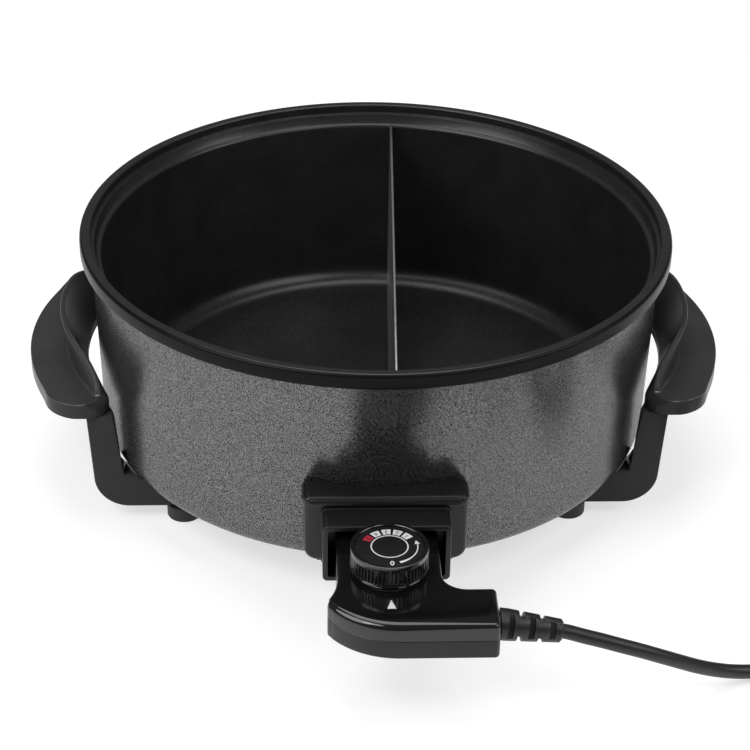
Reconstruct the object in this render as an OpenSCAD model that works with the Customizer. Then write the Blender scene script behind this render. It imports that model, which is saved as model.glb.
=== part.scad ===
// Deep electric pan on four feet, with a lift-out divider and a plug-in thermostat on its lead.
// Millimetres, +Z up. The origin is on the table, under the middle of the pan and its thermostat.
// Most modules are written about the pan's own axis, with the thermostat towards -Y.

/* [Pan] */
// Diameter over the rim
rim_d = 310; // [296:1:330]
// Height of the rim above the table
rim_h = 140; // [125:1:160]
// Height of the pan's underside above the table
base_z = 23; // [22:0.5:26]
// Thickness of the side wall
wall_t = 5.5; // [4:0.5:6.5]
// Thickness of the floor
floor_t = 5; // [4:0.5:8]
// How far the rim stands out past the wall
rim_over = 5.5; // [4:0.5:7]
// Height of the rim's outer band
band_h = 8; // [6:0.5:12]
// Width of the flat lip
lip_w = 6.4; // [5:0.2:7.6]
// Step from the lip down to the lid ledge
lip_step = 3; // [2:0.5:5]
// How much the wall draws in towards the base
wall_draft = 2.8; // [2:0.2:5]
// Radius of the outer base corner
corner_r = 15; // [12:1:20]
// Radius of the inner floor corner
floor_corner_r = 12; // [8:1:18]

/* [Divider] */
// Thickness of the divider plate
divider_t = 1.2; // [0.8:0.1:2]
// Distance of the divider from the pan's axis
divider_off = 9.3; // [0:0.1:40]
// Turn of the divider as it is set in by hand, in degrees
divider_turn = 1.9; // [-5:0.1:5]
// Top of the divider below the rim
divider_drop = 8.5; // [8:0.5:30]
// Gap between the divider and the wall
divider_gap = 0.4; // [0.3:0.1:1]

/* [Handles] */
// Gap between the top of the wall and a handle
handle_gap = 4.5; // [4:0.5:8]
// Width of a handle at its middle, seen from above
handle_w = 30.5; // [28:0.5:38]
// Half the length of a handle
handle_half = 71.5; // [70:0.5:78]
// Length of a handle's round end
handle_end = 14; // [10:1:16]
// Radius of a handle's inner edge, seen from above
handle_bow_r = 115; // [112:1:145]
// Radius of a handle's outer edge, seen from above
handle_sweep_r = 130; // [110:1:180]
// Height of a handle's underside above the table
handle_z = 64; // [56:1:72]
// Thickness of a handle's edge
plate_t = 8.5; // [7:0.5:12]
// Rise of the heat shield above the handle's edge
shield_rise = 23; // [10:0.5:30]
// How far the heat shield leans out at its middle
shield_lean = 6.8; // [4:0.2:9]
// Half length of the raised part of the shield
shield_spread = 63; // [54:1:66]
// Wall of the hollow handle
grip_wall = 4; // [3:0.5:5]

/* [Legs and feet] */
// Distance of a leg's middle from the handle's end, front to back
leg_inset = 10; // [9:0.5:12]
// Width of a leg, front to back
leg_w = 15; // [14:0.5:17]
// Thickness of the upright part of a leg
strut_t = 14; // [13:0.5:16]
// Gap between the pan's side and an upright
strut_gap = 3.5; // [1:0.5:4.5]
// How much an upright draws in towards the table
leg_draft = 2.3; // [1.5:0.1:3]
// Outer radius of a leg's bend
leg_bend_r = 18; // [12:1:20]
// How much thicker an upright gets towards the table
strut_taper = 2; // [1:0.5:3]
// Height of the heel where an upright meets its arm
heel_h = 7.8; // [6:0.2:9]
// Height of the arm that runs under the pan
arm_h = 12; // [11:0.5:12.5]
// Distance of a foot from the pan's middle, side to side
foot_x = 102; // [96:1:106]
// Diameter of a foot
foot_d = 18.4; // [16:0.1:20]
// How far a foot's pad lies outwards of its screw, front to back
foot_out = 2.5; // [0:0.1:3]
// Height of a foot below the arm
foot_h = 8; // [7:0.5:8.5]

/* [Heating element] */
// Diameter of the element's sheath
element_d = 6.5; // [6:0.5:8]
// Radius of the element's ring
element_r = 85; // [75:1:92]
// Distance of each terminal from the middle
term_x = 15; // [13.5:0.5:17]
// Diameter of a terminal pin
term_pin_d = 5; // [4:0.5:6]

/* [Socket] */
// Height of the socket's axis above the table
term_z = 52; // [51:0.5:54]
// Depth of the hood in front of the wall
hood_depth = 10.5; // [10.5:0.5:16]
// Width of the hood
hood_w = 79; // [75:1:90]
// Height of the hood
hood_h = 36.8; // [36.4:0.2:44]
// Distance of the hood's lower edge below the socket's axis
hood_below = 14; // [13.5:0.5:16]
// How far the eave stands out past the hood's face
eave_over = 1; // [0.5:0.5:3]
// Height of the eave
eave_h = 4.8; // [3.7:0.1:5.5]
// Width of the shroud
shroud_w = 61.4; // [60:0.2:64]
// Height of the shroud
shroud_h = 31.6; // [29:0.2:32]
// Distance of the shroud's lower edge below the socket's axis
shroud_below = 14.8; // [14:0.2:15]
// How far the shroud stands out of the hood
shroud_l = 15.5; // [14:0.5:20]
// Wall of the shroud
shroud_t = 2.5; // [2:0.1:2.8]

/* [Thermostat] */
// Width of the neck that enters the shroud
neck_w = 49; // [47:0.5:53]
// Height of the case above its parting line
case_up = 8.75; // [8.5:0.25:10]
// Height of the case below its parting line
case_down = 10; // [8.75:0.25:11]
// Distance from the hood's face to the front of the case
case_len = 81.7; // [80:0.1:90]
// Distance of the cord end of the case from the middle
wing_x = 49; // [46:0.5:60]
// Depth of the wing that holds the cord, front to back
wing_w = 29; // [25:0.1:30]
// Wall of the case
case_t = 2; // [1.6:0.1:2.2]
// Diameter of the knob
knob_d = 37; // [30:0.5:40]
// Height of the knob
knob_h = 11; // [8:0.1:14]
// Number of ribs round the knob
knob_ribs = 60; // [30:1:72]
// Distance from the hood's face to the knob's axis
knob_y = 38; // [36:0.5:42]
// Diameter of the spindle
spindle_d = 6; // [5:0.5:7]
// Diameter of the probe
probe_d = 6; // [5:0.5:7]

/* [Cord and plug] */
// Diameter of the cord
cord_d = 7; // [6:0.1:7.1]
// Length of the strain relief
relief_l = 29.5; // [20:0.5:40]
// Diameter of the plug
plug_d = 37; // [34:0.5:40]
// Diameter of a plug pin
plug_pin_d = 4.8; // [4:0.1:5]
// Length of a plug pin
plug_pin_l = 19; // [16:0.5:20]
// Distance between the plug pins
plug_pin_gap = 19; // [18:0.5:20]

/* [Hidden] */
$fn = 96;

// Clearances, and one turn in degrees
seat_gap = 0.2;
slide_gap = 0.3;
contact_gap = 0.08;
bush_gap = 0.05;
thread_gap = 0.1;
tie_gap = 0.7;
full_turn = 360;

// Pan
rim_r = rim_d / 2;
wall_top_r = rim_r - rim_over;
wall_low_r = wall_top_r - wall_draft;
bowl_top_r = wall_top_r - wall_t;
bowl_low_r = wall_low_r - wall_t;
lip_in_r = rim_r - lip_w;
band_z = rim_h - band_h;
ledge_z = rim_h - lip_step;
ledge_r = lip_in_r - bowl_top_r;
floor_z = base_z + floor_t;
rim_edge_r = 2;
small_edge_r = 1;

// Legs and feet
leg_y = handle_half - leg_inset;
leg_gap = 0.5;
leg_set = 3.5;
arm_top_z = foot_h + arm_h;
heel_z = arm_top_z + heel_h;
strut_in_top = sqrt(pow(wall_top_r + leg_gap, 2) - pow(leg_y + leg_w / 2, 2)) + leg_set;
strut_out_top = strut_in_top + strut_t;
strut_out_low = strut_out_top - leg_draft;
strut_in_low = strut_in_top - leg_draft - strut_taper;
strut_tilt = (atan(leg_draft / (handle_z - foot_h - leg_bend_r))
    + atan((leg_draft + strut_taper) / (handle_z - heel_z))) / 2;
strut_screw_off = 0.6;
strut_screw_x = strut_in_top + strut_t / 2 + strut_screw_off;
strut_screw_l = handle_z - arm_top_z - 2;
arm_end_x = foot_x - foot_d / 2 - 1;
arm_end_r = 4;
foot_boss_d = 16;
heel_x = foot_x + foot_boss_d / 2 + 2;
foot_head_d = 7.8;
foot_head_h = 3;
foot_edge_r = 0.9;
foot_collar_d = 11;
foot_collar_h = 4;
leg_screw_d = 4;
leg_head_d = 8;
leg_head_h = 3;
foot_screw_grip = 3.5;
handle_screw_grip = 6;

// Handles
handle_in_x = wall_top_r + handle_gap;
handle_out_x = handle_in_x + handle_w;
handle_top = handle_z + plate_t;
handle_edge = 1.2;
handle_turn = 20;
shield_in = 5.5;
shield_foot = 10;
shield_foot_in = 2.2;
shield_half_t = 1.2;
shield_share_w = 18;
flare_half = shield_spread * 5 / 7;
handle_rings = 30;
hollow_half = 46;

// Heating element
rib_h = element_d + 2 * seat_gap;
rib_t = 3;
element_z = base_z - seat_gap - element_d / 2;
stub_l = 7;
element_sides = 12;
bend_r = 12;
bend_x = term_x + bend_r;
bend_y = sqrt(pow(element_r + bend_r, 2) - pow(bend_x, 2));
bend_angle = atan2(bend_y, bend_x);
strap_t = 1.5;
strap_w = 12;
strap_in = 22;
strap_out = 8;
strap_screw_off = 16;
strap_boss_d = 10;
strap_screw_d = 3.2;
strap_head_d = 7;
strap_head_h = 2.5;
strap_angles = [90, 215, 325];

// Socket, measured from the pan's axis
hood_front = wall_top_r + hood_depth;
hood_t = 2.5;
hood_side_t = 3;
hood_top_t = 3.5;
hood_z = term_z - hood_below;
hood_top_z = hood_z + hood_h;
hood_corner_r = 3;
hood_low_r = 7;
eave_corner_r = 6;
eave_edge_r = 2.8;
eave_low_r = 0.8;
eave_side = 1;
plate_front = hood_front - hood_t - seat_gap;
plate_thick = 2.3;
plate_back = plate_front - plate_thick;
shroud_front = hood_front + shroud_l;
shroud_z = term_z - shroud_below;
shroud_corner_r = 2.5;
flange = 2.5;
term_block = [7.5, 6.5, 7];
term_y = plate_back - seat_gap - term_block[1] / 2;
term_pin_l = 18;
insulator_d = 9;
insulator_l = 5;
probe_boss = [18, 24];
probe_depth = 8.5;
shroud_screw_z = 8.5;
shroud_screw_d = 3;
shroud_head_d = 5.6;
shroud_head_h = 2;

// Thermostat, measured from the hood's face
nose_y = 1;
nose_r = 3;
case_z = term_z - case_down;
case_top = term_z + case_up;
wing_edge_r = 2.5;
wing_fillet_r = 11.5;
wing_back = case_len - wing_w;
front_sweep_r = 40;
front_sweep_x = 4;
front_sweep_a = 141;
cheek_r = 4;
cheek_a = [230, 150];
cheek_x = 25.2;
cheek_in = 19.2;
flank_r = 30;
flank_back = 38.1;
flank_a = 30;
collar_h = 2.4;
collar_d = knob_d - 3.4;
knob_z = case_top + collar_h + slide_gap;
knob_top = knob_z + knob_h;
skirt_h = 1;
rib_d = knob_d - 0.4;
rib_depth = 0.6;
knob_cap_d = rib_d + 0.2;
knob_cap_h = 2;
knob_edge = 0.5;
dial_t = 0.8;
dial_rim = 1.6;
dial_d = knob_cap_d - 2 * knob_edge - 2 * dial_rim;
bush_d = 10;
bush_flange_d = 14;
sleeve_d = 8;
sleeve_l = 20;
probe_in = 24;
probe_out = hood_front - plate_back + probe_depth - 1;
block_size = [28, 22];
blade = [8, 26, 0.8];
case_screw_d = 3;
case_head_d = 6;
case_head_h = 2;
pillar_d = 7;
pillar_x = neck_w / 2 - case_t - pillar_d / 2 - seat_gap;
pillar_room = 2.5;
pillar_y = nose_y + sleeve_l + pillar_d / 2 + pillar_room;
cheek_pillar_in = 6;
wing_pillar_in = 22;
wing_pillar_up = 7.7;
pillars = [
    [-pillar_x, -pillar_y], [pillar_x, -pillar_y],
    [cheek_pillar_in - cheek_x, cheek_in - case_len], [wing_x - wing_pillar_in, wing_pillar_up - case_len]
];
clamp_size = [6, 16, 3];

// Cord, from the strain relief to the plug
relief_in = 12.9;
relief_y = hood_front + case_len - relief_in;
relief_tilt = 8.8;
relief_base_d = 15;
relief_tip_d = 11;
relief_neck_d = 10;
relief_slot = 2.8;
relief_skin = 0.8;
relief_root = relief_base_d / 2 * tan(relief_tilt);
relief_end = [
    wing_x + relief_l * cos(relief_tilt), -relief_y, term_z - relief_l * sin(relief_tilt)
];
coil_x = 232;
coil_y = -160;
coil_in_r = 31;
coil_pitch = 7.5;
coil_turns = 2;
coil_z = 4.8;
loop_rings = 24;
coil_sides = 6;
cord_sides = 10;
coil_start = -90;
coil_turn_back = coil_start + full_turn * coil_turns;
coil_end = 1440;
cord_route = [
    relief_end,
    [81, -228.9, 46.9], [88, -229, 44.6], [97, -229, 41.8], [106, -228.8, 38.6],
    [116, -227.7, 34.5], [126, -225.6, 29.4], [136, -222.3, 23.4], [146, -218.2, 17],
    [156, -213.8, 11.3], [166, -210.2, 7.2], [177, -207.6, 5], [190, -206.3, 4.3],
    [204, -206, 4.5], [216, -206, 4.8], [225, -206, 4.8]
];
plug_x = coil_x + coil_radius(coil_end);
plug_z = plug_d / 2 + 0.1;
plug_y = -112;
lead_route = [
    [plug_x, -153, 12.3], [plug_x, -146, 12.3], [plug_x, -138, 13.7], [plug_x, -128, 17],
    [plug_x, -119, plug_z], [plug_x, plug_y, plug_z]
];
plug_tail_l = 24;
plug_tail_d = 11;
plug_neck_d = 20;
plug_body_l = 38;
plug_face = plug_tail_l + plug_body_l;
plug_groove = [6, 3, 14];
pin_root_d = plug_pin_d + 1.2;
pin_root_l = 12;
clip_t = 1.2;
clip_in = 0.5;
tie_t = 0.9;
tie_w = 8;
tie_corner_r = 3;

// The middle of the pan and its thermostat stands on the origin
pan_axis_y = (hood_front + case_len - rim_r) / 2;

// Shared shapes
function arc(c, r, from, to, n = 8) =
    [for (i = [0:n]) c + r * [cos(from + (to - from) * i / n), sin(from + (to - from) * i / n)]];

function rounded2(w, h, r, low) = concat(
    arc([w / 2 - r, h / 2 - r], r, 0, 90, 6), arc([r - w / 2, h / 2 - r], r, 90, 180, 6),
    arc([low - w / 2, low - h / 2], low, 180, 270, 6), arc([w / 2 - low, low - h / 2], low, 270, 360, 6));

function rounded(w, h, r) = rounded2(w, h, r, r);

function unit(v) = v / norm(v);

function heading(path, i) =
    unit(path[min(i + 1, len(path) - 1)] - path[max(i - 1, 0)]);

function tube_ring(p, d, r, sides) =
    let (side = unit(cross(d, [0, 0, 1])), up = cross(side, d))
    [for (k = [0:sides - 1]) let (a = full_turn * k / sides) p + r * (cos(a) * side + sin(a) * up)];

// Triangles that join rings of n points, with a fan over each end
function skin_faces(rings, n) = concat(
    [for (i = [0:rings - 2], k = [0:n - 1]) [i * n + k, i * n + (k + 1) % n, (i + 1) * n + k]],
    [for (i = [0:rings - 2], k = [0:n - 1])
        [i * n + (k + 1) % n, (i + 1) * n + (k + 1) % n, (i + 1) * n + k]],
    [for (k = [1:n - 2]) [0, k + 1, k]],
    [for (k = [1:n - 2]) (rings - 1) * n * [1, 1, 1] + [0, k, k + 1]]);

module tube(path, d, sides) {
    last = len(path) - 1;
    points = [for (i = [0:last]) each tube_ring(path[i], heading(path, i), d / 2, sides)];
    polyhedron(points, skin_faces(last + 1, sides));
}

module place() translate([0, pan_axis_y, 0]) children();

module corner(left, rear) mirror([left, 0, 0]) mirror([0, 1 - rear, 0]) children();

module each_corner() for (left = [0, 1], rear = [0, 1]) corner(left, rear) children();

module both_sides() for (s = [0, 1]) mirror([s, 0, 0]) children();

// Extrudes an X-Z outline towards the front, starting at a distance from the pan's axis
module frontward(from, l) translate([0, -from, 0]) rotate([90, 0, 0]) linear_extrude(l) children();

module front_rod(x, z, from, l, d)
    translate([x, -from, z]) rotate([90, 0, 0]) cylinder(d = d, h = l);

module screw_up(d, l, head_d, head_h) {
    cylinder(d = head_d, h = head_h);
    cylinder(d = d, h = head_h + l);
}

// Pan
pan_profile = concat(
    [[0, base_z]],
    arc([wall_low_r - corner_r, base_z + corner_r], corner_r, -90, 0),
    [[wall_top_r, band_z]],
    arc([rim_r - small_edge_r, band_z + small_edge_r], small_edge_r, -90, 0, 4),
    arc([rim_r - rim_edge_r, rim_h - rim_edge_r], rim_edge_r, 0, 90, 6),
    arc([lip_in_r + small_edge_r, rim_h - small_edge_r], small_edge_r, 90, 180, 4),
    arc([lip_in_r, ledge_z - ledge_r], ledge_r, 90, 180, 6),
    arc([bowl_low_r - floor_corner_r, floor_z + floor_corner_r], floor_corner_r, 0, -90),
    [[0, floor_z]]);

module rib_ring(r) rotate_extrude() translate([r, base_z - rib_h]) square([rib_t, rib_h + 1]);

module element_ribs() difference() {
    union() {
        rib_ring(element_r + element_d / 2 + slide_gap);
        rib_ring(element_r - element_d / 2 - slide_gap - rib_t);
    }
    translate([-bend_x - bend_r / 2, -element_r - bend_r, 0])
        cube([2 * bend_x + bend_r, element_r, base_z]);
}

module at_straps() for (a = strap_angles) rotate(a) children();

module pan_shell() color("dimgray") place() difference() {
    union() {
        rotate_extrude() polygon(pan_profile);
        each_corner() translate([foot_x, leg_y, arm_top_z])
            cylinder(d = foot_boss_d, h = base_z - arm_top_z + 1);
        element_ribs();
        at_straps() translate([element_r - strap_screw_off, 0, base_z - rib_h])
            cylinder(d = strap_boss_d, h = rib_h + 1);
        frontward(wall_top_r - wall_t + 1, plate_back - wall_top_r + wall_t - 1)
            translate([0, term_z]) square(probe_boss, center = true);
    }
    each_corner() translate([foot_x, leg_y, arm_top_z - 1])
        cylinder(d = leg_screw_d + 2 * thread_gap, h = base_z - arm_top_z + 1 + foot_screw_grip);
    at_straps() translate([element_r - strap_screw_off, 0, base_z - rib_h - 1])
        cylinder(d = strap_screw_d + 2 * thread_gap, h = rib_h + 3);
    front_rod(0, term_z, plate_back - probe_depth, probe_depth + 1, probe_d + 2 * slide_gap);
    for (dz = [-shroud_screw_z, shroud_screw_z])
        front_rod(0, term_z + dz, plate_back - 7, 8, shroud_screw_d + 2 * thread_gap);
}

// The plate follows the bowl's side, draws in with it and is rounded to its floor corner
module divider_plate() {
    top_z = rim_h - divider_drop;
    reach = abs(divider_off) + divider_t;
    wall_slope = (bowl_top_r - bowl_low_r) / (ledge_z - ledge_r - floor_z - floor_corner_r);
    half_low = sqrt(pow(bowl_low_r, 2) - pow(reach, 2)) - divider_gap;
    half_top = half_low + wall_slope * (top_z - floor_z - floor_corner_r);
    turn_r = floor_corner_r + divider_gap;
    half = concat(
        [[half_top, top_z]],
        arc([half_low - turn_r, floor_z + slide_gap + turn_r], turn_r, 0, -90));
    outline = concat(half, [for (i = [len(half) - 1:-1:0]) [-half[i][0], half[i][1]]]);
    color("lightgray") place() rotate(-divider_turn) translate([divider_off - divider_t / 2, 0, 0])
        rotate([90, 0, 90]) linear_extrude(divider_t) polygon(outline);
}

// Heating element: a ring whose two ends bend forward to the terminals
element_path = let (
    bend = arc([bend_x, -bend_y], bend_r, 180, 180 - bend_angle, 6),
    ring = arc([0, 0], element_r, -bend_angle, 180 + bend_angle, 48),
    side = concat([[term_x, -term_y + stub_l]], bend),
    plan = concat(side, [for (i = [1:len(ring) - 2]) ring[i]],
        [for (i = [len(side) - 1:-1:0]) [-side[i][0], side[i][1]]]))
    [for (p = plan) [p[0], p[1], element_z]];

module heating_element() color("slategray") place() tube(element_path, element_d, element_sides);

module element_straps() color("silver") place() at_straps() difference() {
    translate([element_r - strap_in, -strap_w / 2, base_z - rib_h - strap_t])
        cube([strap_in + strap_out, strap_w, strap_t]);
    translate([element_r - strap_screw_off, 0, 0])
        cylinder(d = strap_screw_d + 2 * slide_gap, h = base_z);
}

module strap_screws() color("gainsboro") place() at_straps()
    translate([element_r - strap_screw_off, 0, base_z - rib_h - strap_t - strap_head_h])
        screw_up(strap_screw_d, strap_t + rib_h, strap_head_d, strap_head_h);

module terminal_pins() color("goldenrod") place() both_sides() {
    front_rod(term_x, element_z, term_y - stub_l, stub_l, term_pin_d);
    translate([term_x, -term_y, element_z]) {
        sphere(d = term_pin_d);
        cylinder(d = term_pin_d, h = term_z - element_z);
    }
    translate([term_x, -term_y, term_z]) cube(term_block, center = true);
    front_rod(term_x, term_z, term_y, term_block[1] / 2 + term_pin_l, term_pin_d);
    translate([term_x, -term_y - term_block[1] / 2 - term_pin_l, term_z]) sphere(d = term_pin_d);
}

module terminal_insulators() color("ivory") place() both_sides() difference() {
    front_rod(term_x, term_z, plate_back - seat_gap, insulator_l, insulator_d);
    front_rod(term_x, term_z, plate_back - 1, insulator_l + 2, term_pin_d + 2 * thread_gap);
}

// Socket
module hood_eave() intersection() {
    eave_front = hood_front + eave_over;
    translate([0, -eave_front / 2, 0]) linear_extrude(rim_h)
        polygon(rounded(hood_w + 2 * eave_side, eave_front, eave_corner_r));
    rotate([90, 0, 90]) linear_extrude(hood_w + 4 * eave_side, center = true) polygon(concat(
        [[-wall_low_r, hood_top_z - eave_h]],
        arc([eave_low_r - eave_front, hood_top_z - eave_h + eave_low_r], eave_low_r, 270, 180, 3),
        arc([eave_edge_r - eave_front, hood_top_z - eave_edge_r], eave_edge_r, 180, 90, 5),
        [[-wall_low_r, hood_top_z]]));
}

module socket_hood() color("dimgray") place() difference() {
    union() {
        intersection() {
            frontward(wall_low_r - corner_r, hood_front - wall_low_r + corner_r)
                translate([0, hood_z + hood_h / 2])
                    polygon(rounded2(hood_w, hood_h, hood_corner_r, hood_low_r));
            translate([0, -hood_front / 2, 0]) linear_extrude(rim_h)
                polygon(rounded(hood_w, hood_front, eave_corner_r - eave_side));
        }
        hood_eave();
    }
    cylinder(r = wall_top_r + slide_gap, h = rim_h);
    translate([-hood_w / 2 + hood_side_t, -hood_front + hood_t, 0])
        cube([hood_w - 2 * hood_side_t, hood_front, hood_top_z - hood_top_t]);
    frontward(plate_front, hood_front) translate([0, shroud_z + shroud_h / 2])
        polygon(rounded(shroud_w + 2 * seat_gap, shroud_h + 2 * seat_gap, shroud_corner_r + seat_gap));
}

module socket_shroud() color("gray") place() difference() {
    shroud_mid = shroud_z + shroud_h / 2;
    union() {
        frontward(plate_back, shroud_front - plate_back)
            translate([0, shroud_mid]) polygon(rounded(shroud_w, shroud_h, shroud_corner_r));
        frontward(plate_back, plate_thick) translate([0, shroud_mid])
            square([shroud_w + 2 * flange, shroud_h + flange / 2], center = true);
    }
    frontward(plate_front, shroud_front) translate([0, shroud_mid]) polygon(rounded(
        shroud_w - 2 * shroud_t, shroud_h - 2 * shroud_t, shroud_corner_r - shroud_t / 2));
    both_sides()
        front_rod(term_x, term_z, plate_back - 1, plate_thick + 2, insulator_d + 2 * thread_gap);
    front_rod(0, term_z, plate_back - 1, plate_thick + 2, probe_d + 2 * slide_gap);
    for (dz = [-shroud_screw_z, shroud_screw_z])
        front_rod(0, term_z + dz, plate_back - 1, plate_thick + 2, shroud_screw_d + 2 * slide_gap);
}

module shroud_screws() color("gainsboro") place() for (dz = [-shroud_screw_z, shroud_screw_z]) {
    front_rod(0, term_z + dz, plate_front, shroud_head_h, shroud_head_d);
    front_rod(0, term_z + dz, plate_front - plate_thick - 6, plate_thick + 6, shroud_screw_d);
}

// Axis of the screw that runs up through a leg into the handle's end
module at_strut() translate([strut_screw_x, leg_y, handle_z]) rotate([0, strut_tilt, 0]) children();

// Handles: sections from back to front, each an outline of the crescent with its heat shield
function arch(y) = pow(max(0, 1 - pow(abs(y) / shield_spread, 4)), 1.35);

function flare(y) = exp(-pow(abs(y) / flare_half, 6));

function handle_edge_in(y) = handle_in_x - handle_bow_r + sqrt(pow(handle_bow_r, 2) - y * y);

function handle_edge_out(y) = handle_out_x - handle_sweep_r + sqrt(pow(handle_sweep_r, 2) - y * y);

function end_share(y) = sqrt(1 - pow(max(0, abs(y) - handle_half + handle_end) / handle_end, 2));

// Inner and outer edge at a section, drawn together over the round ends
function handle_edges(y) =
    let (
        from = handle_half - 2 * handle_end,
        over = max(0, abs(y) - from) / handle_turn,
        held = min(abs(y), from) + handle_turn * (1 - 2 / (exp(2 * over) + 1)),
        mid = (handle_edge_in(held) + handle_edge_out(held)) / 2,
        half = (handle_edge_out(held) - handle_edge_in(held)) / 2 * end_share(y))
    [mid - half, mid + half];

// Outer foot of the shield
function shield_foot_x(y, share) = handle_edges(y)[0]
    + share * (shield_foot - shield_foot_in * pow(min(1, abs(y) / shield_spread), 8));

function handle_ring(y) =
    let (
        e = handle_edges(y), w = e[1] - e[0], k = min(1, w / shield_share_w), a = arch(y),
        ridge = e[0] + k * (shield_in + shield_lean * flare(y)),
        ridge_z = handle_top + 0.3 + shield_rise * a,
        out = ridge + shield_half_t * k,
        foot = shield_foot_x(y, k),
        edge = min(handle_edge, w / 8))
    [
        [e[0] + edge, y, handle_z], [e[0], y, handle_z + handle_edge], [e[0], y, handle_top - 3],
        [ridge - shield_half_t * k, y, ridge_z - 0.6], [ridge, y, ridge_z], [out, y, ridge_z - 0.1 - 0.8 * a],
        [foot + 0.3 * (out - foot), y, handle_top + 0.1 + 0.45 * shield_rise * a],
        [foot, y, handle_top + 0.05 + 2.2 * a], [foot + k * (0.3 + 2.5 * a), y, handle_top],
        [e[1] - 1.2 * edge, y, handle_top], [e[1] - 0.3 * edge, y, handle_top - 0.8],
        [e[1], y, handle_top - 2.4], [e[1], y, handle_z + handle_edge], [e[1] - edge, y, handle_z]
    ];

// The hollow under the grip follows the outside at the wall's thickness
function hollow_ring(y) =
    let (e = handle_edges(y), foot = shield_foot_x(y, 1), top = handle_top - grip_wall)
    [
        [e[0] + grip_wall, y, handle_z - 1], [e[0] + grip_wall, y, top - 1],
        [foot - 3.5, y, top + 5 * arch(y)], [foot + 1.5, y, top],
        [e[1] - grip_wall, y, top], [e[1] - grip_wall, y, handle_z - 1]
    ];

module handle_grip() color("dimgray") difference() {
    rings = [for (i = [0:handle_rings]) each handle_ring((handle_half - 0.1) * cos(180 * i / handle_rings))];
    hollows = [for (i = [0:handle_rings / 2])
        each hollow_ring(hollow_half * cos(full_turn * i / handle_rings))];
    polyhedron(rings, skin_faces(handle_rings + 1, 14));
    polyhedron(hollows, skin_faces(handle_rings / 2 + 1, 6));
    for (s = [0, 1]) mirror([0, s, 0]) at_strut() translate([0, 0, -1])
        cylinder(d = leg_screw_d + 2 * thread_gap, h = 1 + handle_screw_grip + seat_gap);
}

module left_handle() place() mirror([1, 0, 0]) handle_grip();

module right_handle() place() handle_grip();

module handle_screws() color("gainsboro") place() each_corner() at_strut()
    translate([0, 0, -strut_screw_l - leg_head_h])
        screw_up(leg_screw_d, strut_screw_l + handle_screw_grip, leg_head_d, leg_head_h);

// Legs: an upright below a handle's end, bent into an arm that runs under the pan
leg_outline = concat(
    [[strut_out_top, handle_z]],
    arc([strut_out_low - leg_bend_r, foot_h + leg_bend_r], leg_bend_r, 0, -90),
    arc([arm_end_x + arm_end_r, foot_h + arm_end_r], arm_end_r, 270, 180, 4),
    arc([arm_end_x + arm_end_r, arm_top_z - arm_end_r], arm_end_r, 180, 90, 4),
    [[heel_x, arm_top_z], [heel_x + heel_h, heel_z], [strut_in_low, heel_z], [strut_in_top, handle_z]]);

// Room that a leg leaves for the pan
pan_room = concat(
    [[0, base_z - leg_gap]],
    arc([wall_low_r - corner_r, base_z + corner_r], corner_r + strut_gap,
        -asin((corner_r + leg_gap) / (corner_r + strut_gap)), 0),
    [[wall_top_r + strut_gap, band_z], [0, band_z]]);

module leg(left, rear) color("dimgray") place() corner(left, rear) difference() {
    translate([0, leg_y + leg_w / 2, 0]) rotate([90, 0, 0]) linear_extrude(leg_w) polygon(leg_outline);
    rotate_extrude() polygon(pan_room);
    at_strut() {
        translate([0, 0, -strut_screw_l - handle_z])
            cylinder(d = leg_head_d + 2 * slide_gap, h = handle_z);
        translate([0, 0, -handle_z]) cylinder(d = leg_screw_d + 2 * slide_gap, h = handle_z + 1);
    }
    translate([foot_x, leg_y, 0]) {
        cylinder(d = foot_collar_d + 2 * thread_gap, h = foot_h + foot_collar_h);
        cylinder(d = leg_screw_d + 2 * slide_gap, h = arm_top_z + 1);
    }
}

module foot(left, rear) {
    r = foot_d / 2;
    collar_r = foot_collar_d / 2;
    well_r = foot_head_d / 2 + thread_gap;
    well_z = foot_h + foot_collar_h - foot_head_h - seat_gap;
    top_z = foot_h + foot_collar_h - seat_gap;
    root_z = foot_h / 2;
    color("black") place() corner(left, rear) translate([foot_x, leg_y, 0]) {
        translate([0, foot_out, 0]) rotate_extrude() polygon(concat(
            [[0, 0]], arc([r - foot_edge_r, foot_edge_r], foot_edge_r, -90, 0), [[r, foot_h], [0, foot_h]]));
        rotate_extrude() polygon([
            [0, root_z], [collar_r, root_z], [collar_r, top_z], [well_r, top_z], [well_r, well_z], [0, well_z]
        ]);
    }
}

module foot_screws() color("gainsboro") place() each_corner()
    translate([foot_x, leg_y, foot_h + foot_collar_h - foot_head_h])
        screw_up(leg_screw_d, base_z + foot_screw_grip - foot_h - foot_collar_h - 0.5,
            foot_head_d, foot_head_h);

// Thermostat, written about the middle of the hood's face
module at_socket() place() translate([0, -hood_front, 0]) children();

// Outline of the case from above, drawn in by i
function case_outline(i) = concat(
    arc([neck_w / 2 - nose_r, -nose_y - nose_r], nose_r - i, 90, 0, 5),
    arc([neck_w / 2 + wing_fillet_r, wing_fillet_r - wing_back], wing_fillet_r + i, 180, 270),
    arc([wing_x - wing_edge_r, -wing_back - wing_edge_r], wing_edge_r - i, 90, 0, 4),
    arc([wing_x - wing_edge_r, wing_edge_r - case_len], wing_edge_r - i, 0, -90, 4),
    arc([front_sweep_x, front_sweep_r - case_len], front_sweep_r - i, -90, -front_sweep_a, 10),
    arc([-cheek_x, cheek_in - case_len], cheek_r - i, cheek_a[0], cheek_a[1], 5),
    arc([-neck_w / 2 - flank_r, flank_back - case_len], flank_r + i, -flank_a, 0, 6),
    arc([nose_r - neck_w / 2, -nose_y - nose_r], nose_r - i, 180, 90, 5));

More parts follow.
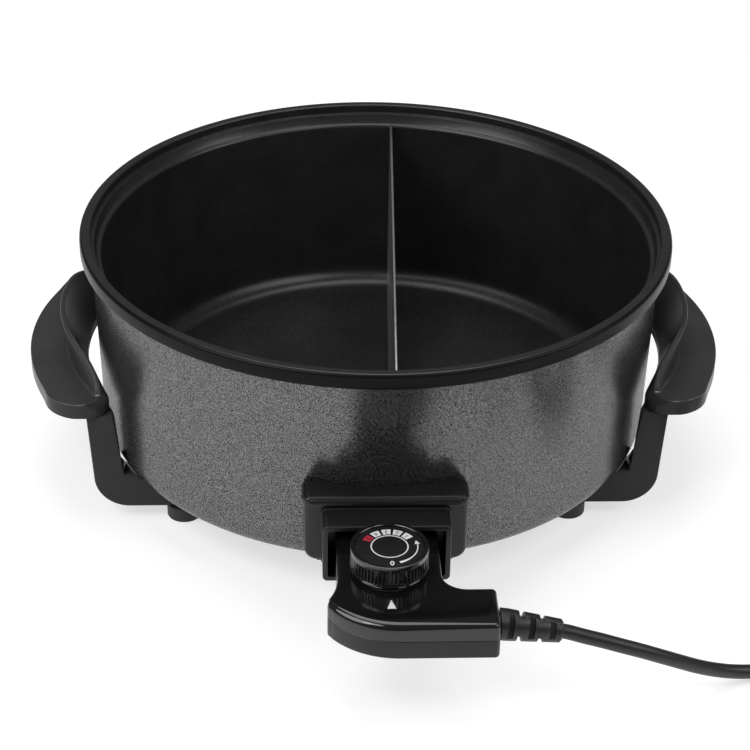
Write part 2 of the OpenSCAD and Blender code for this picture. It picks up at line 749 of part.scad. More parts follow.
// Openings that both halves of the case share at the parting line
module case_ports() {
    both_sides() front_rod(term_x, term_z, 0, nose_y + case_t + 1, sleeve_d + 2 * thread_gap);
    front_rod(0, term_z, 0, nose_y + case_t + 1, probe_d + 2 * thread_gap);
    translate([wing_x - case_t - 1, hood_front - relief_y, term_z]) rotate([0, 90, 0])
        cylinder(d = relief_neck_d + 2 * thread_gap, h = case_t + 2);
}

module case_pillars(from, to) for (p = pillars)
    translate([p[0], p[1], from]) cylinder(d = pillar_d, h = to - from);

module case_bores(d, from, to) for (p = pillars)
    translate([p[0], p[1], from]) cylinder(d = d, h = to - from);

module lower_case() color("gray") at_socket() difference() {
    union() {
        difference() {
            translate([0, 0, case_z]) linear_extrude(case_down) polygon(case_outline(0));
            translate([0, 0, case_z + case_t]) linear_extrude(case_down) polygon(case_outline(case_t));
        }
        case_pillars(case_z + case_t / 2, term_z);
    }
    case_ports();
    case_bores(case_screw_d + 2 * slide_gap, case_z - 1, term_z + 1);
    case_bores(case_head_d + 2 * slide_gap, case_z - 1, case_z + case_head_h);
}

module upper_case() color("dimgray") at_socket() difference() {
    union() {
        difference() {
            translate([0, 0, term_z]) linear_extrude(case_up) polygon(case_outline(0));
            translate([0, 0, term_z - 1]) linear_extrude(case_up - case_t + 1)
                polygon(case_outline(case_t));
        }
        case_pillars(term_z, case_top - case_t / 2);
        translate([0, -knob_y, case_top - case_t / 2]) cylinder(d = collar_d, h = collar_h + case_t / 2);
    }
    case_ports();
    case_bores(case_screw_d + 2 * thread_gap, term_z - 1, case_top - case_t);
    translate([0, -knob_y, term_z]) cylinder(d = bush_d + 2 * thread_gap, h = 2 * case_up);
}

module case_screws() color("gainsboro") at_socket() for (p = pillars)
    translate([p[0], p[1], case_z]) screw_up(case_screw_d, case_down + 2, case_head_d, case_head_h);

module probe() color("silver") at_socket() {
    front_rod(0, term_z, -probe_out + probe_d / 2, probe_in + probe_out - probe_d / 2, probe_d);
    translate([0, probe_out - probe_d / 2, term_z]) sphere(d = probe_d);
}

module contact_sleeves() color("goldenrod") at_socket() both_sides() difference() {
    front_rod(term_x, term_z, nose_y + seat_gap, sleeve_l, sleeve_d);
    front_rod(term_x, term_z, 0, sleeve_l - 2, term_pin_d + 2 * contact_gap);
}

module switch_block() color("ivory") at_socket()
    translate([-block_size[0] / 2, -knob_y - block_size[1] / 2, case_z + case_t])
        cube([block_size[0], block_size[1], case_down - case_t]);

module bimetal_blade() color("peru") at_socket()
    translate([-blade[0] / 2, -probe_in - seat_gap - blade[1], term_z + seat_gap])
        cube(blade);

module spindle_bush() color("goldenrod") at_socket() translate([0, -knob_y, 0]) difference() {
    union() {
        translate([0, 0, case_top - case_t - 1.5]) cylinder(d = bush_flange_d, h = 1.5);
        translate([0, 0, case_top - case_t - 1.5]) cylinder(d = bush_d, h = case_t + 1.5 + collar_h);
    }
    translate([0, 0, term_z]) cylinder(d = spindle_d + 2 * bush_gap, h = 2 * case_up);
}

module cord_clamp() color("silver") at_socket()
    translate([wing_x - case_t - 4 - clamp_size[0], hood_front - relief_y - clamp_size[1] / 2,
        case_z + case_t]) cube(clamp_size);

// Knob
function ribbed(d, n) = [for (i = [0:2 * n - 1])
    (d / 2 - (i % 2) * rib_depth) * [cos(180 * i / n), sin(180 * i / n)]];

module knob() color("dimgray") at_socket() translate([0, -knob_y, 0]) difference() {
    union() {
        translate([0, 0, knob_z]) cylinder(d = knob_d, h = skirt_h);
        translate([0, 0, knob_z + skirt_h]) linear_extrude(knob_h - skirt_h - knob_cap_h)
            polygon(ribbed(rib_d, knob_ribs));
        translate([0, 0, knob_top - knob_cap_h])
            cylinder(d1 = knob_cap_d, d2 = knob_cap_d - 2 * knob_edge, h = knob_cap_h);
    }
    translate([0, 0, knob_top - dial_t]) cylinder(d = dial_d + 2 * thread_gap, h = 1);
    translate([0, 0, knob_z - 1]) cylinder(d = spindle_d + 2 * thread_gap, h = knob_h - 1.5);
}

module dial_disc() color("black") at_socket() translate([0, -knob_y, knob_top - dial_t])
    cylinder(d = dial_d, h = dial_t - 0.2);

module knob_spindle() color("silver") at_socket() translate([0, -knob_y, term_z + blade[2] + 2 * seat_gap])
    cylinder(d = spindle_d, h = knob_top - 2.8 - term_z - blade[2] - 2 * seat_gap);

// Cord and plug
module relief_slots(shares, sides) for (i = shares, side = sides)
    translate([0, 0, relief_l * i / 3]) rotate(side)
        translate([cord_d / 2 + relief_skin, -relief_base_d, -relief_slot / 2])
            cube([relief_base_d, 2 * relief_base_d, relief_slot]);

module relief_sleeve() difference() {
    union() {
        cylinder(d1 = relief_base_d, d2 = relief_tip_d, h = relief_l);
        translate([0, 0, -relief_root]) cylinder(d = relief_base_d, h = relief_root);
    }
    relief_slots([1, 2], [0, 180]);
    relief_slots([0.5, 1.5, 2.5], [90, 270]);
}

// The sleeve droops with the cord, and its root is cut square to the case
module strain_relief() color("dimgray") place() translate([wing_x, -relief_y, term_z]) {
    rotate([0, -90, 0]) cylinder(d = relief_neck_d, h = case_t + 1);
    difference() {
        rotate([0, 90 + relief_tilt, 0]) relief_sleeve();
        translate(-relief_base_d * [1, 1, 1]) cube(relief_base_d * [1, 2, 2]);
    }
}

module power_cord() color("black") place() tube(cord_route, cord_d, cord_sides);

// Loops: inwards on the table, up a layer in the half turn where the spiral turns back, then outwards
function coil_radius(a) = coil_in_r + coil_pitch / full_turn *
    (a < coil_turn_back + 90 ? coil_turn_back - a : a - coil_turn_back - 180);

function coil_height(a) = coil_z + coil_pitch * max(0, min(1, (a - coil_turn_back) / 180));

function coil_point(a) = [
    coil_x + coil_radius(a) * cos(a), coil_y + coil_radius(a) * sin(a), coil_height(a)];

coil_path = concat(
    [coil_point(coil_start) - [cord_d, 0, 0]],
    [for (a = [coil_start:full_turn / loop_rings:coil_end]) coil_point(a)],
    [coil_point(coil_end) + [0, cord_d, 0]]);

coil_gap = min([for (i = [0:len(coil_path) - 1], j = [i + loop_rings / 2:1:len(coil_path) - 1])
    norm(coil_path[i] - coil_path[j])]) - cord_d;
echo(least_gap_between_loops = coil_gap);

module cord_coil() color("black") place() tube(coil_path, cord_d, coil_sides);

module plug_lead() color("black") place() tube(lead_route, cord_d, cord_sides);

module cord_tie() {
    a = coil_start + 270;
    outer_r = coil_radius(a) + cord_d / 2 + tie_gap;
    inner_r = coil_radius(a + full_turn) - cord_d / 2 - tie_gap;
    low = coil_z - cord_d / 2 - slide_gap;
    high = coil_z + coil_pitch + cord_d / 2 + slide_gap;
    w = outer_r - inner_r;
    h = high - low;
    color("black") place() translate([coil_x - (outer_r + inner_r) / 2, coil_y, (low + high) / 2])
        rotate([90, 0, 0]) linear_extrude(tie_w, center = true) difference() {
            polygon(rounded(w + 2 * tie_t, h + 2 * tie_t, tie_corner_r + tie_t));
            polygon(rounded(w, h, tie_corner_r));
        }
}

module at_plug() place() translate([plug_x, plug_y, plug_z]) rotate([-90, 0, 0]) children();

module at_grooves() for (s = [0, 180]) rotate(s)
    translate([-plug_groove[0] / 2, plug_d / 2 - plug_groove[1], plug_face - plug_groove[2]]) children();

module at_pins() for (s = [-1, 1]) translate([s * plug_pin_gap / 2, 0, plug_face]) children();

module mains_plug() color("black") at_plug() difference() {
    rotate_extrude() polygon([
        [0, 0], [plug_tail_d / 2, 0], [plug_tail_d / 2 + 1, plug_tail_l], [plug_neck_d / 2, plug_tail_l + 2],
        [plug_d / 2 - 4, plug_tail_l + 16], [plug_d / 2, plug_tail_l + 20],
        [plug_d / 2, plug_face - small_edge_r], [plug_d / 2 - small_edge_r, plug_face], [0, plug_face]
    ]);
    at_grooves() cube(plug_groove + [0, 1, 1]);
    at_pins() translate([0, 0, -pin_root_l]) cylinder(d = pin_root_d + 2 * thread_gap, h = pin_root_l + 1);
}

module plug_pins() color("silver") at_plug() at_pins() {
    translate([0, 0, -pin_root_l]) cylinder(d = pin_root_d, h = pin_root_l);
    cylinder(d = plug_pin_d, h = plug_pin_l - plug_pin_d / 2);
    translate([0, 0, plug_pin_l - plug_pin_d / 2]) sphere(d = plug_pin_d);
}

module earth_clips() color("silver") at_plug() at_grooves() translate([clip_in, 0, 0])
    cube([plug_groove[0] - 2 * clip_in, clip_t, plug_groove[2] - small_edge_r]);

pan_shell();
divider_plate();
heating_element();
element_straps();
strap_screws();
terminal_pins();
terminal_insulators();
socket_hood();
socket_shroud();
shroud_screws();
left_handle();
right_handle();
handle_screws();
leg(1, 0);  // front_left_leg
leg(0, 0);  // front_right_leg
leg(1, 1);  // rear_left_leg
leg(0, 1);  // rear_right_leg
foot(1, 0);  // front_left_foot
foot(0, 0);  // front_right_foot
foot(1, 1);  // rear_left_foot
foot(0, 1);  // rear_right_foot
foot_screws();
lower_case();
upper_case();
case_screws();
probe();
contact_sleeves();
switch_block();
bimetal_blade();
spindle_bush();
cord_clamp();
knob();
dial_disc();
knob_spindle();
strain_relief();
power_cord();
cord_coil();
plug_lead();
cord_tie();
mains_plug();
plug_pins();
earth_clips();
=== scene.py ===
from math import asin, cos, degrees, exp, pi, radians, sin, sqrt, tan, tanh

import bpy
from mathutils import Matrix, Vector


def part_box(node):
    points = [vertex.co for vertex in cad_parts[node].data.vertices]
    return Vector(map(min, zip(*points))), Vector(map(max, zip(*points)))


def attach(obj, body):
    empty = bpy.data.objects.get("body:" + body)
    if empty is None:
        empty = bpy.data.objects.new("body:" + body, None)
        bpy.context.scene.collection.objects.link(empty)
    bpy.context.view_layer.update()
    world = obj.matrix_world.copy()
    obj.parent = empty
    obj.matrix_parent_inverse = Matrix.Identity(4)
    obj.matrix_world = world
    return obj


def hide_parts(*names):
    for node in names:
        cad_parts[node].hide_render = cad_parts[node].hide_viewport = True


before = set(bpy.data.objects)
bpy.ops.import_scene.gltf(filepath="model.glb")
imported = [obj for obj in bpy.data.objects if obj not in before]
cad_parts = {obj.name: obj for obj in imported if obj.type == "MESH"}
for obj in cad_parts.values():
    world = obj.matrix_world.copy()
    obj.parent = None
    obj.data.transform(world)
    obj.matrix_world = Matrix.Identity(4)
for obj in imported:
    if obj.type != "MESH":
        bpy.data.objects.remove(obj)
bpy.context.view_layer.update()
print("frame loaded")

mm = 0.001
fullTurn = 2 * pi
mergeGap = 1e-6  # metres, for doubles
flatGap = 1e-5  # metres, for points that lie in one flat face
past = 2  # millimetres that a cutting tool reaches beyond its cut
greyTint = 1.02  # the greys have a little more blue
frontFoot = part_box("front_left_foot")
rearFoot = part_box("rear_left_foot")
panAxis = Vector((0, (frontFoot[0].y + rearFoot[1].y) / 2, 0))  # the pan's own axis, on the table


def at(x, y, z):  # millimetres from the pan's axis to a place in the frame
    return panAxis + Vector((x, y, z)) * mm


# Camera

cameraSet = dict(
    position=(-44.9, -1012.7, 663.1),
    forward=(0.0385, 0.8534, -0.5199),
    right=(0.9992, -0.0361, 0.0147),
    lens=103.96,
    sensor=36.0,
    clipEnd=50,
)


def addCamera(s):
    forward = Vector(s["forward"]).normalized()
    side = Vector(s["right"])
    side = (side - side.dot(forward) * forward).normalized()
    up = side.cross(forward)
    bpy.ops.object.select_all(action="DESELECT")
    bpy.ops.object.camera_add()
    camera = bpy.context.object
    turn = Matrix((side, up, -forward)).transposed().to_4x4()
    camera.matrix_world = Matrix.Translation(at(*s["position"])) @ turn
    camera.data.lens = s["lens"]
    camera.data.sensor_width = s["sensor"]
    camera.data.clip_end = s["clipEnd"]
    bpy.context.scene.camera = camera


addCamera(cameraSet)
print("camera set")


# Modelling helpers

def deselectAll():
    if bpy.context.object and bpy.context.object.mode != "OBJECT":
        bpy.ops.object.mode_set(mode="OBJECT")
    bpy.ops.object.select_all(action="DESELECT")


def takeUp(piece):
    deselectAll()
    piece.select_set(True)
    bpy.context.view_layer.objects.active = piece


def editAll(piece):
    takeUp(piece)
    bpy.ops.object.mode_set(mode="EDIT")
    bpy.ops.mesh.select_all(action="SELECT")


def closeUp(piece):  # merges doubles and turns every face outwards
    editAll(piece)
    bpy.ops.mesh.remove_doubles(threshold=mergeGap)
    bpy.ops.mesh.normals_make_consistent(inside=False)
    bpy.ops.object.mode_set(mode="OBJECT")
    return piece


def newPiece(name):  # names what an operator has just added
    piece = bpy.context.object
    piece.name = name
    piece.data.name = name
    return piece


def placePoints(piece, points):
    for vertex, point in zip(piece.data.vertices, points):
        vertex.co = point
    return piece


def pickEdges(piece, pick):  # edit mode with some edges selected: pick says which, from their two points
    takeUp(piece)
    bpy.context.tool_settings.mesh_select_mode = (False, True, False)
    for item in (*piece.data.polygons, *piece.data.vertices):
        item.select = False
    for edge in piece.data.edges:
        edge.select = pick(*edge.vertices)
    bpy.ops.object.mode_set(mode="EDIT")


def newOutline(name, points, fill="NGON"):
    deselectAll()
    bpy.ops.mesh.primitive_circle_add(vertices=len(points), fill_type=fill)
    return placePoints(newPiece(name), points)


def extruded(name, points, move):
    piece = newOutline(name, points)
    editAll(piece)
    bpy.ops.mesh.extrude_region_move(TRANSFORM_OT_translate={"value": move})
    return closeUp(piece)


def spun(name, profile, foot, steps=128):  # profile of (radius, height) turned round an upright axis
    piece = newOutline(name, [foot + Vector((r, 0, z)) * mm for r, z in profile], "NOTHING")
    if profile[0][0] == 0 and profile[-1][0] == 0:  # the edge along the axis goes
        pickEdges(piece, lambda a, b: {a, b} == {0, len(profile) - 1})
        bpy.ops.mesh.delete(type="EDGE")
    editAll(piece)
    bpy.ops.mesh.spin(steps=steps, angle=fullTurn, center=foot, axis=(0, 0, 1))
    return closeUp(piece)


def skinned(name, rings):  # a grid laid round closed rings, joined at its seam and capped at its ends
    across = len(rings[0])
    deselectAll()
    bpy.ops.mesh.primitive_grid_add(x_subdivisions=across, y_subdivisions=len(rings) - 1)
    points = [ring[k % across] for ring in rings for k in range(across + 1)]
    piece = closeUp(placePoints(newPiece(name), points))
    editAll(piece)
    bpy.ops.mesh.select_all(action="DESELECT")
    bpy.ops.mesh.select_non_manifold(extend=False)
    bpy.ops.mesh.fill_holes(sides=0)
    return closeUp(piece)


def modify(piece, kind, **settings):
    takeUp(piece)
    modifier = piece.modifiers.new(kind.lower(), kind)
    for key, value in settings.items():
        setattr(modifier, key, value)
    bpy.ops.object.modifier_apply(modifier=modifier.name)
    return piece


def softEdges(piece, width, segments=3, angle=40):
    return modify(piece, "BEVEL", width=width * mm, segments=segments, limit_method="ANGLE",
                  angle_limit=radians(angle), harden_normals=False)


def combine(piece, tool, operation):
    modify(piece, "BOOLEAN", operation=operation, object=tool, solver="EXACT")
    bpy.data.objects.remove(tool)
    return piece


def cut(piece, tool):
    return combine(piece, tool, "DIFFERENCE")


def weld(piece, tool):
    return combine(piece, tool, "UNION")


def joined(piece, others):
    takeUp(piece)
    for other in others:
        other.select_set(True)
    bpy.ops.object.join()
    return piece


def softFace(piece, axis, level, width, segments):  # rounds the edges of the flat face at a level
    flat = [abs(getattr(v.co, axis) - level) < flatGap for v in piece.data.vertices]
    pickEdges(piece, lambda a, b: flat[a] and flat[b])
    bpy.ops.mesh.bevel(offset=width * mm, segments=segments, affect="EDGES")
    return closeUp(piece)


def rod(name, start, end, radius, sides=48):  # a straight cylinder between two places
    deselectAll()
    along = end - start
    bpy.ops.mesh.primitive_cylinder_add(vertices=sides, radius=radius * mm, depth=along.length)
    piece = newPiece(name)
    turn = along.to_track_quat("Z", "Y").to_matrix().to_4x4()
    piece.data.transform(Matrix.Translation((start + end) / 2) @ turn)
    return piece


def block(name, low, high):
    deselectAll()
    bpy.ops.mesh.primitive_cube_add(size=1)
    piece = newPiece(name)
    piece.data.transform(Matrix.Translation((low + high) / 2) @ Matrix.Diagonal((*(high - low), 1)))
    return piece


def mirrored(piece, name, sideX, sideY):  # a copy with its own mesh, turned over about the pan's axis
    copy = piece.copy()
    copy.data = piece.data.copy()
    copy.name = name
    copy.data.name = name
    bpy.context.scene.collection.objects.link(copy)
    there = Matrix.Translation(panAxis)
    copy.data.transform(there @ Matrix.Diagonal((sideX, sideY, 1, 1)) @ there.inverted())
    if sideX * sideY < 0:
        copy.data.flip_normals()
    return copy


def polar(radius, angle):
    a = radians(angle)
    return radius * cos(a), radius * sin(a)


def arc(x, z, radius, start, end, steps=8):
    around = [polar(radius, start + (end - start) * i / steps) for i in range(steps + 1)]
    return [(x + across, z + up) for across, up in around]


def rounded(width, height, radius, steps=6, lowRadius=None):  # a rectangle with round corners
    low = lowRadius or radius
    w, h = width / 2, height / 2
    return (arc(w - radius, h - radius, radius, 0, 90, steps)
            + arc(radius - w, h - radius, radius, 90, 180, steps)
            + arc(low - w, low - h, low, 180, 270, steps)
            + arc(w - low, low - h, low, 270, 360, steps))


filletSet = dict(steps=5, room=0.45, straight=0.01)


def filleted(points, s):  # a closed outline of (x, z, radius), each corner rounded as far as it fits
    outline = []
    for i, (x, z, radius) in enumerate(points):
        here = Vector((x, z))
        back = Vector(points[i - 1][:2]) - here
        on = Vector(points[(i + 1) % len(points)][:2]) - here
        turn = back.angle(on, pi)
        room = s["room"] * min(back.length, on.length)
        reach = min(room, radius / tan(turn / 2)) if turn > s["straight"] else 0
        start = here + back.normalized() * reach
        end = here + on.normalized() * reach
        for k in range(s["steps"] + 1):
            t = k / s["steps"]
            outline.append(tuple((1 - t) ** 2 * start + 2 * t * (1 - t) * here + t * t * end))
    return outline


def dress(piece, coats, body, slotName, *nodes, angle=35):
    takeUp(piece)
    bpy.ops.object.shade_smooth_by_angle(angle=radians(angle))
    for coat in coats:
        piece.data.materials.append(finish[coat])
    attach(piece, body)
    if nodes:
        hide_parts(*nodes)
    return piece


# Finishes: colours and roughness vary with the place on the piece

def feed(tree, node, **inputs):  # each input gets a fixed value or what another node gives
    for name, value in inputs.items():
        socket = node.inputs[name.replace("_", " ")]
        if isinstance(value, bpy.types.NodeSocket):
            tree.links.new(value, socket)
        else:
            socket.default_value = value
    return node


def newNode(tree, kind, **inputs):
    return feed(tree, tree.nodes.new("ShaderNode" + kind), **inputs)


def newFinish(name):
    material = bpy.data.materials.new(name)
    material.use_nodes = True
    tree = material.node_tree
    return material, tree, tree.nodes["Principled BSDF"], newNode(tree, "TexCoord").outputs["Object"]


def addNoise(tree, place, scale, detail, stretch=None):
    if stretch:
        place = newNode(tree, "Mapping", Vector=place, Scale=stretch).outputs["Vector"]
    return newNode(tree, "TexNoise", Vector=place, Scale=scale, Detail=detail).outputs["Fac"]


def tone(value):  # a single number is a grey
    return value if isinstance(value, tuple) else (value, value, value * greyTint)


def addRamp(tree, value, places, tones):
    ramp = newNode(tree, "ValToRGB", Fac=value)
    elements = ramp.color_ramp.elements
    elements[0].position = places[0]
    elements[1].position = places[-1]
    for place in places[1:-1]:
        elements.new(place)
    for element, color in zip(elements, tones):
        element.color = (*tone(color), 1)
    return ramp.outputs["Color"]


def addRange(tree, value, low, high, fromLow=0.0, fromHigh=1.0):
    ends = {"From_Min": fromLow, "From_Max": fromHigh, "To_Min": low, "To_Max": high}
    return newNode(tree, "MapRange", Value=value, **ends).outputs["Result"]


def addBump(tree, shader, height, strength, distance):
    bump = newNode(tree, "Bump", Height=height, Strength=strength, Distance=distance * mm)
    feed(tree, shader, Normal=bump.outputs["Normal"])


mouldSet = dict(  # what a finish below has unless it says otherwise
    cloudScale=45, cloudDetail=3.0, cloud=(0.3, 0.7), grainScale=1800, grainDetail=2.0,
    stretch=None, metallic=0.0, ior=1.5, bump=0.1, depth=0.05,
)


def moulded(name, s):  # moulded plastic, rubber and plain metal
    material, tree, shader, place = newFinish(name)
    cloud = addNoise(tree, place, s["cloudScale"], s["cloudDetail"])
    grain = addNoise(tree, place, s["grainScale"], s["grainDetail"], s["stretch"])
    feed(tree, shader, Base_Color=addRamp(tree, cloud, s["cloud"], s["tones"]), Metallic=s["metallic"],
         Roughness=addRange(tree, grain, *s["roughness"]), IOR=s["ior"])
    addBump(tree, shader, grain, s["bump"], s["depth"])
    return material


finishSet = dict(
    # the non-stick darkened and dulled for the faces of the rim's band that turn outwards and down, a
    # painted shade
    rimPaintedShade=dict(tones=(0.004, 0.006), roughness=(0.26, 0.36), ior=1.2, bump=0.12),
    nonStick=dict(tones=(0.010, 0.015), roughness=(0.22, 0.34), ior=1.45, bump=0.3),
    bakelite=dict(tones=(0.036, 0.046), roughness=(0.25, 0.35), ior=1.25, bump=0.1),
    bakeliteEdge=dict(tones=(0.036, 0.046), roughness=(0.20, 0.28), ior=1.75, bump=0.05),
    hoodBlack=dict(tones=(0.007, 0.010), roughness=(0.24, 0.34), ior=1.42, bump=0.12),
    caseGloss=dict(tones=(0.004, 0.006), roughness=(0.06, 0.11), ior=1.58, bump=0.02),
    caseSatin=dict(tones=(0.008, 0.012), roughness=(0.26, 0.36), ior=1.41, bump=0.1),
    knobGloss=dict(tones=(0.004, 0.006), roughness=(0.12, 0.20), ior=1.8, bump=0.04),
    dialBlack=dict(tones=(0.006, 0.009), roughness=(0.22, 0.30), bump=0.05),
    printWhite=dict(tones=(0.54, 0.60), roughness=(0.40, 0.50), bump=0.05),
    printRed=dict(tones=((0.30, 0.012, 0.028), (0.36, 0.018, 0.036)), roughness=(0.35, 0.45)),
    footBlack=dict(tones=(0.010, 0.016), roughness=(0.50, 0.65), bump=0.25),
    leadBlack=dict(tones=(0.007, 0.011), roughness=(0.36, 0.48), bump=0.12),
    plugBlack=dict(tones=(0.016, 0.022), roughness=(0.40, 0.52), bump=0.2),
    brightSteel=dict(tones=(0.58, 0.68), roughness=(0.20, 0.32), metallic=1.0, bump=0.05),
    brushedSteel=dict(tones=(0.62, 0.70), roughness=(0.26, 0.34), metallic=1.0, bump=0.02,
                      grainScale=2600, stretch=(1, 0.015, 1)),
    sheath=dict(tones=((0.20, 0.19, 0.18), (0.30, 0.28, 0.26)), roughness=(0.40, 0.55), metallic=1.0,
                bump=0.2),
    brass=dict(tones=((0.62, 0.46, 0.20), (0.74, 0.57, 0.27)), roughness=(0.22, 0.34), metallic=1.0),
    nickel=dict(tones=((0.66, 0.64, 0.60), (0.74, 0.72, 0.68)), roughness=(0.12, 0.20), metallic=1.0),
    ceramic=dict(tones=((0.72, 0.68, 0.58), (0.82, 0.79, 0.70)), roughness=(0.45, 0.60)),
)
finish = {name: moulded(name, {**mouldSet, **settings}) for name, settings in finishSet.items()}

enamelSet = dict(
    grainScale=4000,
    grain=(0.45, 0.55),
    tones=(0.001, 0.012, 0.070),
    roughness=(0.30, 0.18),
    ior=1.95,
    shine=(0.0, 1.0),
    bump=0.3,
    depth=0.05,
)


def grainyEnamel(name, s):  # grey paint with a fine pebbled grain
    material, tree, shader, place = newFinish(name)
    grain = addNoise(tree, place, s["grainScale"], detail=0.0)
    low, high = s["grain"]
    feed(tree, shader, Base_Color=addRamp(tree, grain, (low, (low + high) / 2, high), s["tones"]),
         Roughness=addRange(tree, grain, *s["roughness"]), IOR=s["ior"],
         Specular_IOR_Level=addRange(tree, grain, *s["shine"], low, high))
    addBump(tree, shader, grain, s["bump"], s["depth"])
    return material


finish["enamel"] = grainyEnamel("enamel", enamelSet)
print("finishes made")


# Cord: straight out of the strain relief, down to the table, then a tied coil and the plug

cordSet = dict(
    diameter=7.0, roundSteps=5, curveSteps=4,
    route=[
        (78.153, -228.8, 47.487), (81, -228.9, 46.9), (88, -229, 44.6), (97, -229, 41.8),
        (106, -228.8, 38.6), (116, -227.7, 34.5), (126, -225.6, 29.4), (136, -222.3, 23.4),
        (146, -218.2, 17), (156, -213.8, 11.3), (166, -210.2, 7.2), (177, -207.6, 5),
        (190, -206.3, 4.3), (204, -206, 4.5), (216, -206, 4.8), (225, -206, 4.8),
    ],
    coilX=232, coilY=-160, innerRadius=31, pitch=7.5, lowZ=4.8,
    start=-90, turnBack=630, end=1440, stepsPerTurn=24,
    lead=[(-153, 12.3), (-146, 12.3), (-138, 13.7), (-128, 17), (-119, 18.6), (-112, 18.6)],
    length=1.24,
)


def coilPoint(s, angle):  # inwards on the table, up a layer in half a turn, then outwards
    back = s["turnBack"]
    turned = back - angle if angle < back + 90 else angle - back - 180
    radius = s["innerRadius"] + s["pitch"] * turned / 360
    height = s["lowZ"] + s["pitch"] * max(0, min(1, (angle - back) / 180))
    x, y = polar(radius, angle)
    return s["coilX"] + x, s["coilY"] + y, height


def addCord(s):
    count = round((s["end"] - s["start"]) * s["stepsPerTurn"] / 360)
    turns = [coilPoint(s, s["start"] + 360 * i / s["stepsPerTurn"]) for i in range(count + 1)]
    plugX = turns[-1][0]
    points = s["route"] + turns + [(plugX, y, z) for y, z in s["lead"]]
    curve = bpy.data.curves.new("cord", "CURVE")
    curve.dimensions = "3D"
    curve.bevel_depth = s["diameter"] * mm / 2
    curve.bevel_resolution = s["roundSteps"]
    curve.resolution_u = s["curveSteps"]
    curve.use_fill_caps = True
    spline = curve.splines.new("BEZIER")
    spline.bezier_points.add(len(points) - 1)
    for knot, point in zip(spline.bezier_points, points):
        knot.co = at(*point)
        knot.handle_left_type = "AUTO"
        knot.handle_right_type = "AUTO"
    cord = bpy.data.objects.new("cord", curve)
    bpy.context.scene.collection.objects.link(cord)
    curve.materials.append(finish["leadBlack"])
    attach(cord, "thermostat")
    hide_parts("power_cord", "cord_coil", "plug_lead")
    return cord, plugX


cord, plugX = addCord(cordSet)
print("cord laid")


# Pan

panSet = dict(
    rim=155, height=140, base=23, floor=28, around=256,
    wallTop=149.5, wallLow=146.7, bowlTop=143.82, bowlLow=141.2,
    bandZ=132, bandRoot=0.6, lipIn=149.2, lipRoot=0.4,
    seatIn=147.4, seatZ=135.1, seatEdge=0.35, seatTurn=160,
    stepIn=146.4, stepZ=130, stepLift=0.3, stepRound=2.3,
    corner=15, floorCorner=12, rimEdge=2.0, smallEdge=1.0,
    paintGap=0.3, upFacing=0.95, downFacing=-0.5,
    footX=102, footY=61.5, bossRadius=8, bossZ=20, bossEdge=0.6, sunk=1,
    ribZ=16.1, ribs=(78.45, 88.55), ribWidth=3, ribSteps=96, leadAngle=21,
    strapRadius=69, strapAngles=(90, 215, 325), strapBoss=5,
    probeBoss=(18, 24), probeSunk=2, socketZ=52, plateBack=155,
)


def panProfile(s):
    edge = s["smallEdge"]
    lip = s["rimEdge"]
    seat = s["seatEdge"]
    step = s["stepRound"]
    turn = s["floorCorner"]
    return ([(0, s["base"])]
            + arc(s["wallLow"] - s["corner"], s["base"] + s["corner"], s["corner"], -90, 0, 12)
            + arc(s["wallTop"] + s["bandRoot"], s["bandZ"] - s["bandRoot"], s["bandRoot"], 180, 90, 4)
            + arc(s["rim"] - edge, s["bandZ"] + edge, edge, -90, 0, 5)
            + arc(s["rim"] - lip, s["height"] - lip, lip, 0, 90, 8)
            + arc(s["lipIn"] + edge, s["height"] - edge, edge, 90, 180, 5)
            + arc(s["lipIn"] - s["lipRoot"], s["seatZ"] + s["lipRoot"], s["lipRoot"], 0, -90, 4)
            + arc(s["seatIn"] + seat, s["seatZ"] - seat, seat, 90, s["seatTurn"], 4)
            + [(s["stepIn"], s["stepZ"] + s["stepLift"])]
            + arc(s["bowlTop"] + step, s["stepZ"] - step, step, 90, 180, 10)
            + arc(s["bowlLow"] - turn, s["floor"] + turn, turn, 0, -90, 12)
            + [(0, s["floor"])])


def panRib(s, radius):  # a rib under the floor, open at the front where the element's ends pass
    low, high = s["ribZ"], s["base"] + s["sunk"]
    far = radius + s["ribWidth"]
    points = [(radius, low), (far, low), (far, high), (radius, high)]
    gap = radians(s["leadAngle"])
    turn = Matrix.Rotation(gap - pi / 2, 4, "Z")
    rib = newOutline("rib", [panAxis + turn @ Vector((r, 0, z)) * mm for r, z in points])
    editAll(rib)
    bpy.ops.mesh.spin(steps=s["ribSteps"], angle=fullTurn - 2 * gap, center=panAxis, axis=(0, 0, 1))
    return closeUp(rib)


def coatPan(pan, s):  # paint outside; on the rim's band the faces turned outwards and down get a darker, duller copy of the non-stick as painted shade; non-stick inside and on the lip's top
    for coat in ("enamel", "rimPaintedShade", "nonStick"):
        pan.data.materials.append(finish[coat])
    for face in pan.data.polygons:
        spot = (face.center - panAxis) / mm
        away = face.normal.dot(Vector((spot.x, spot.y, 0))) > 0
        outside = away or face.normal.z < s["downFacing"]
        painted = outside and spot.z < s["bandZ"] - s["paintGap"]
        # faces turned outwards and not straight up take the darker copy, a painted shade
        shadedBand = outside and face.normal.z < s["upFacing"]
        face.material_index = 0 if painted else 1 if shadedBand else 2


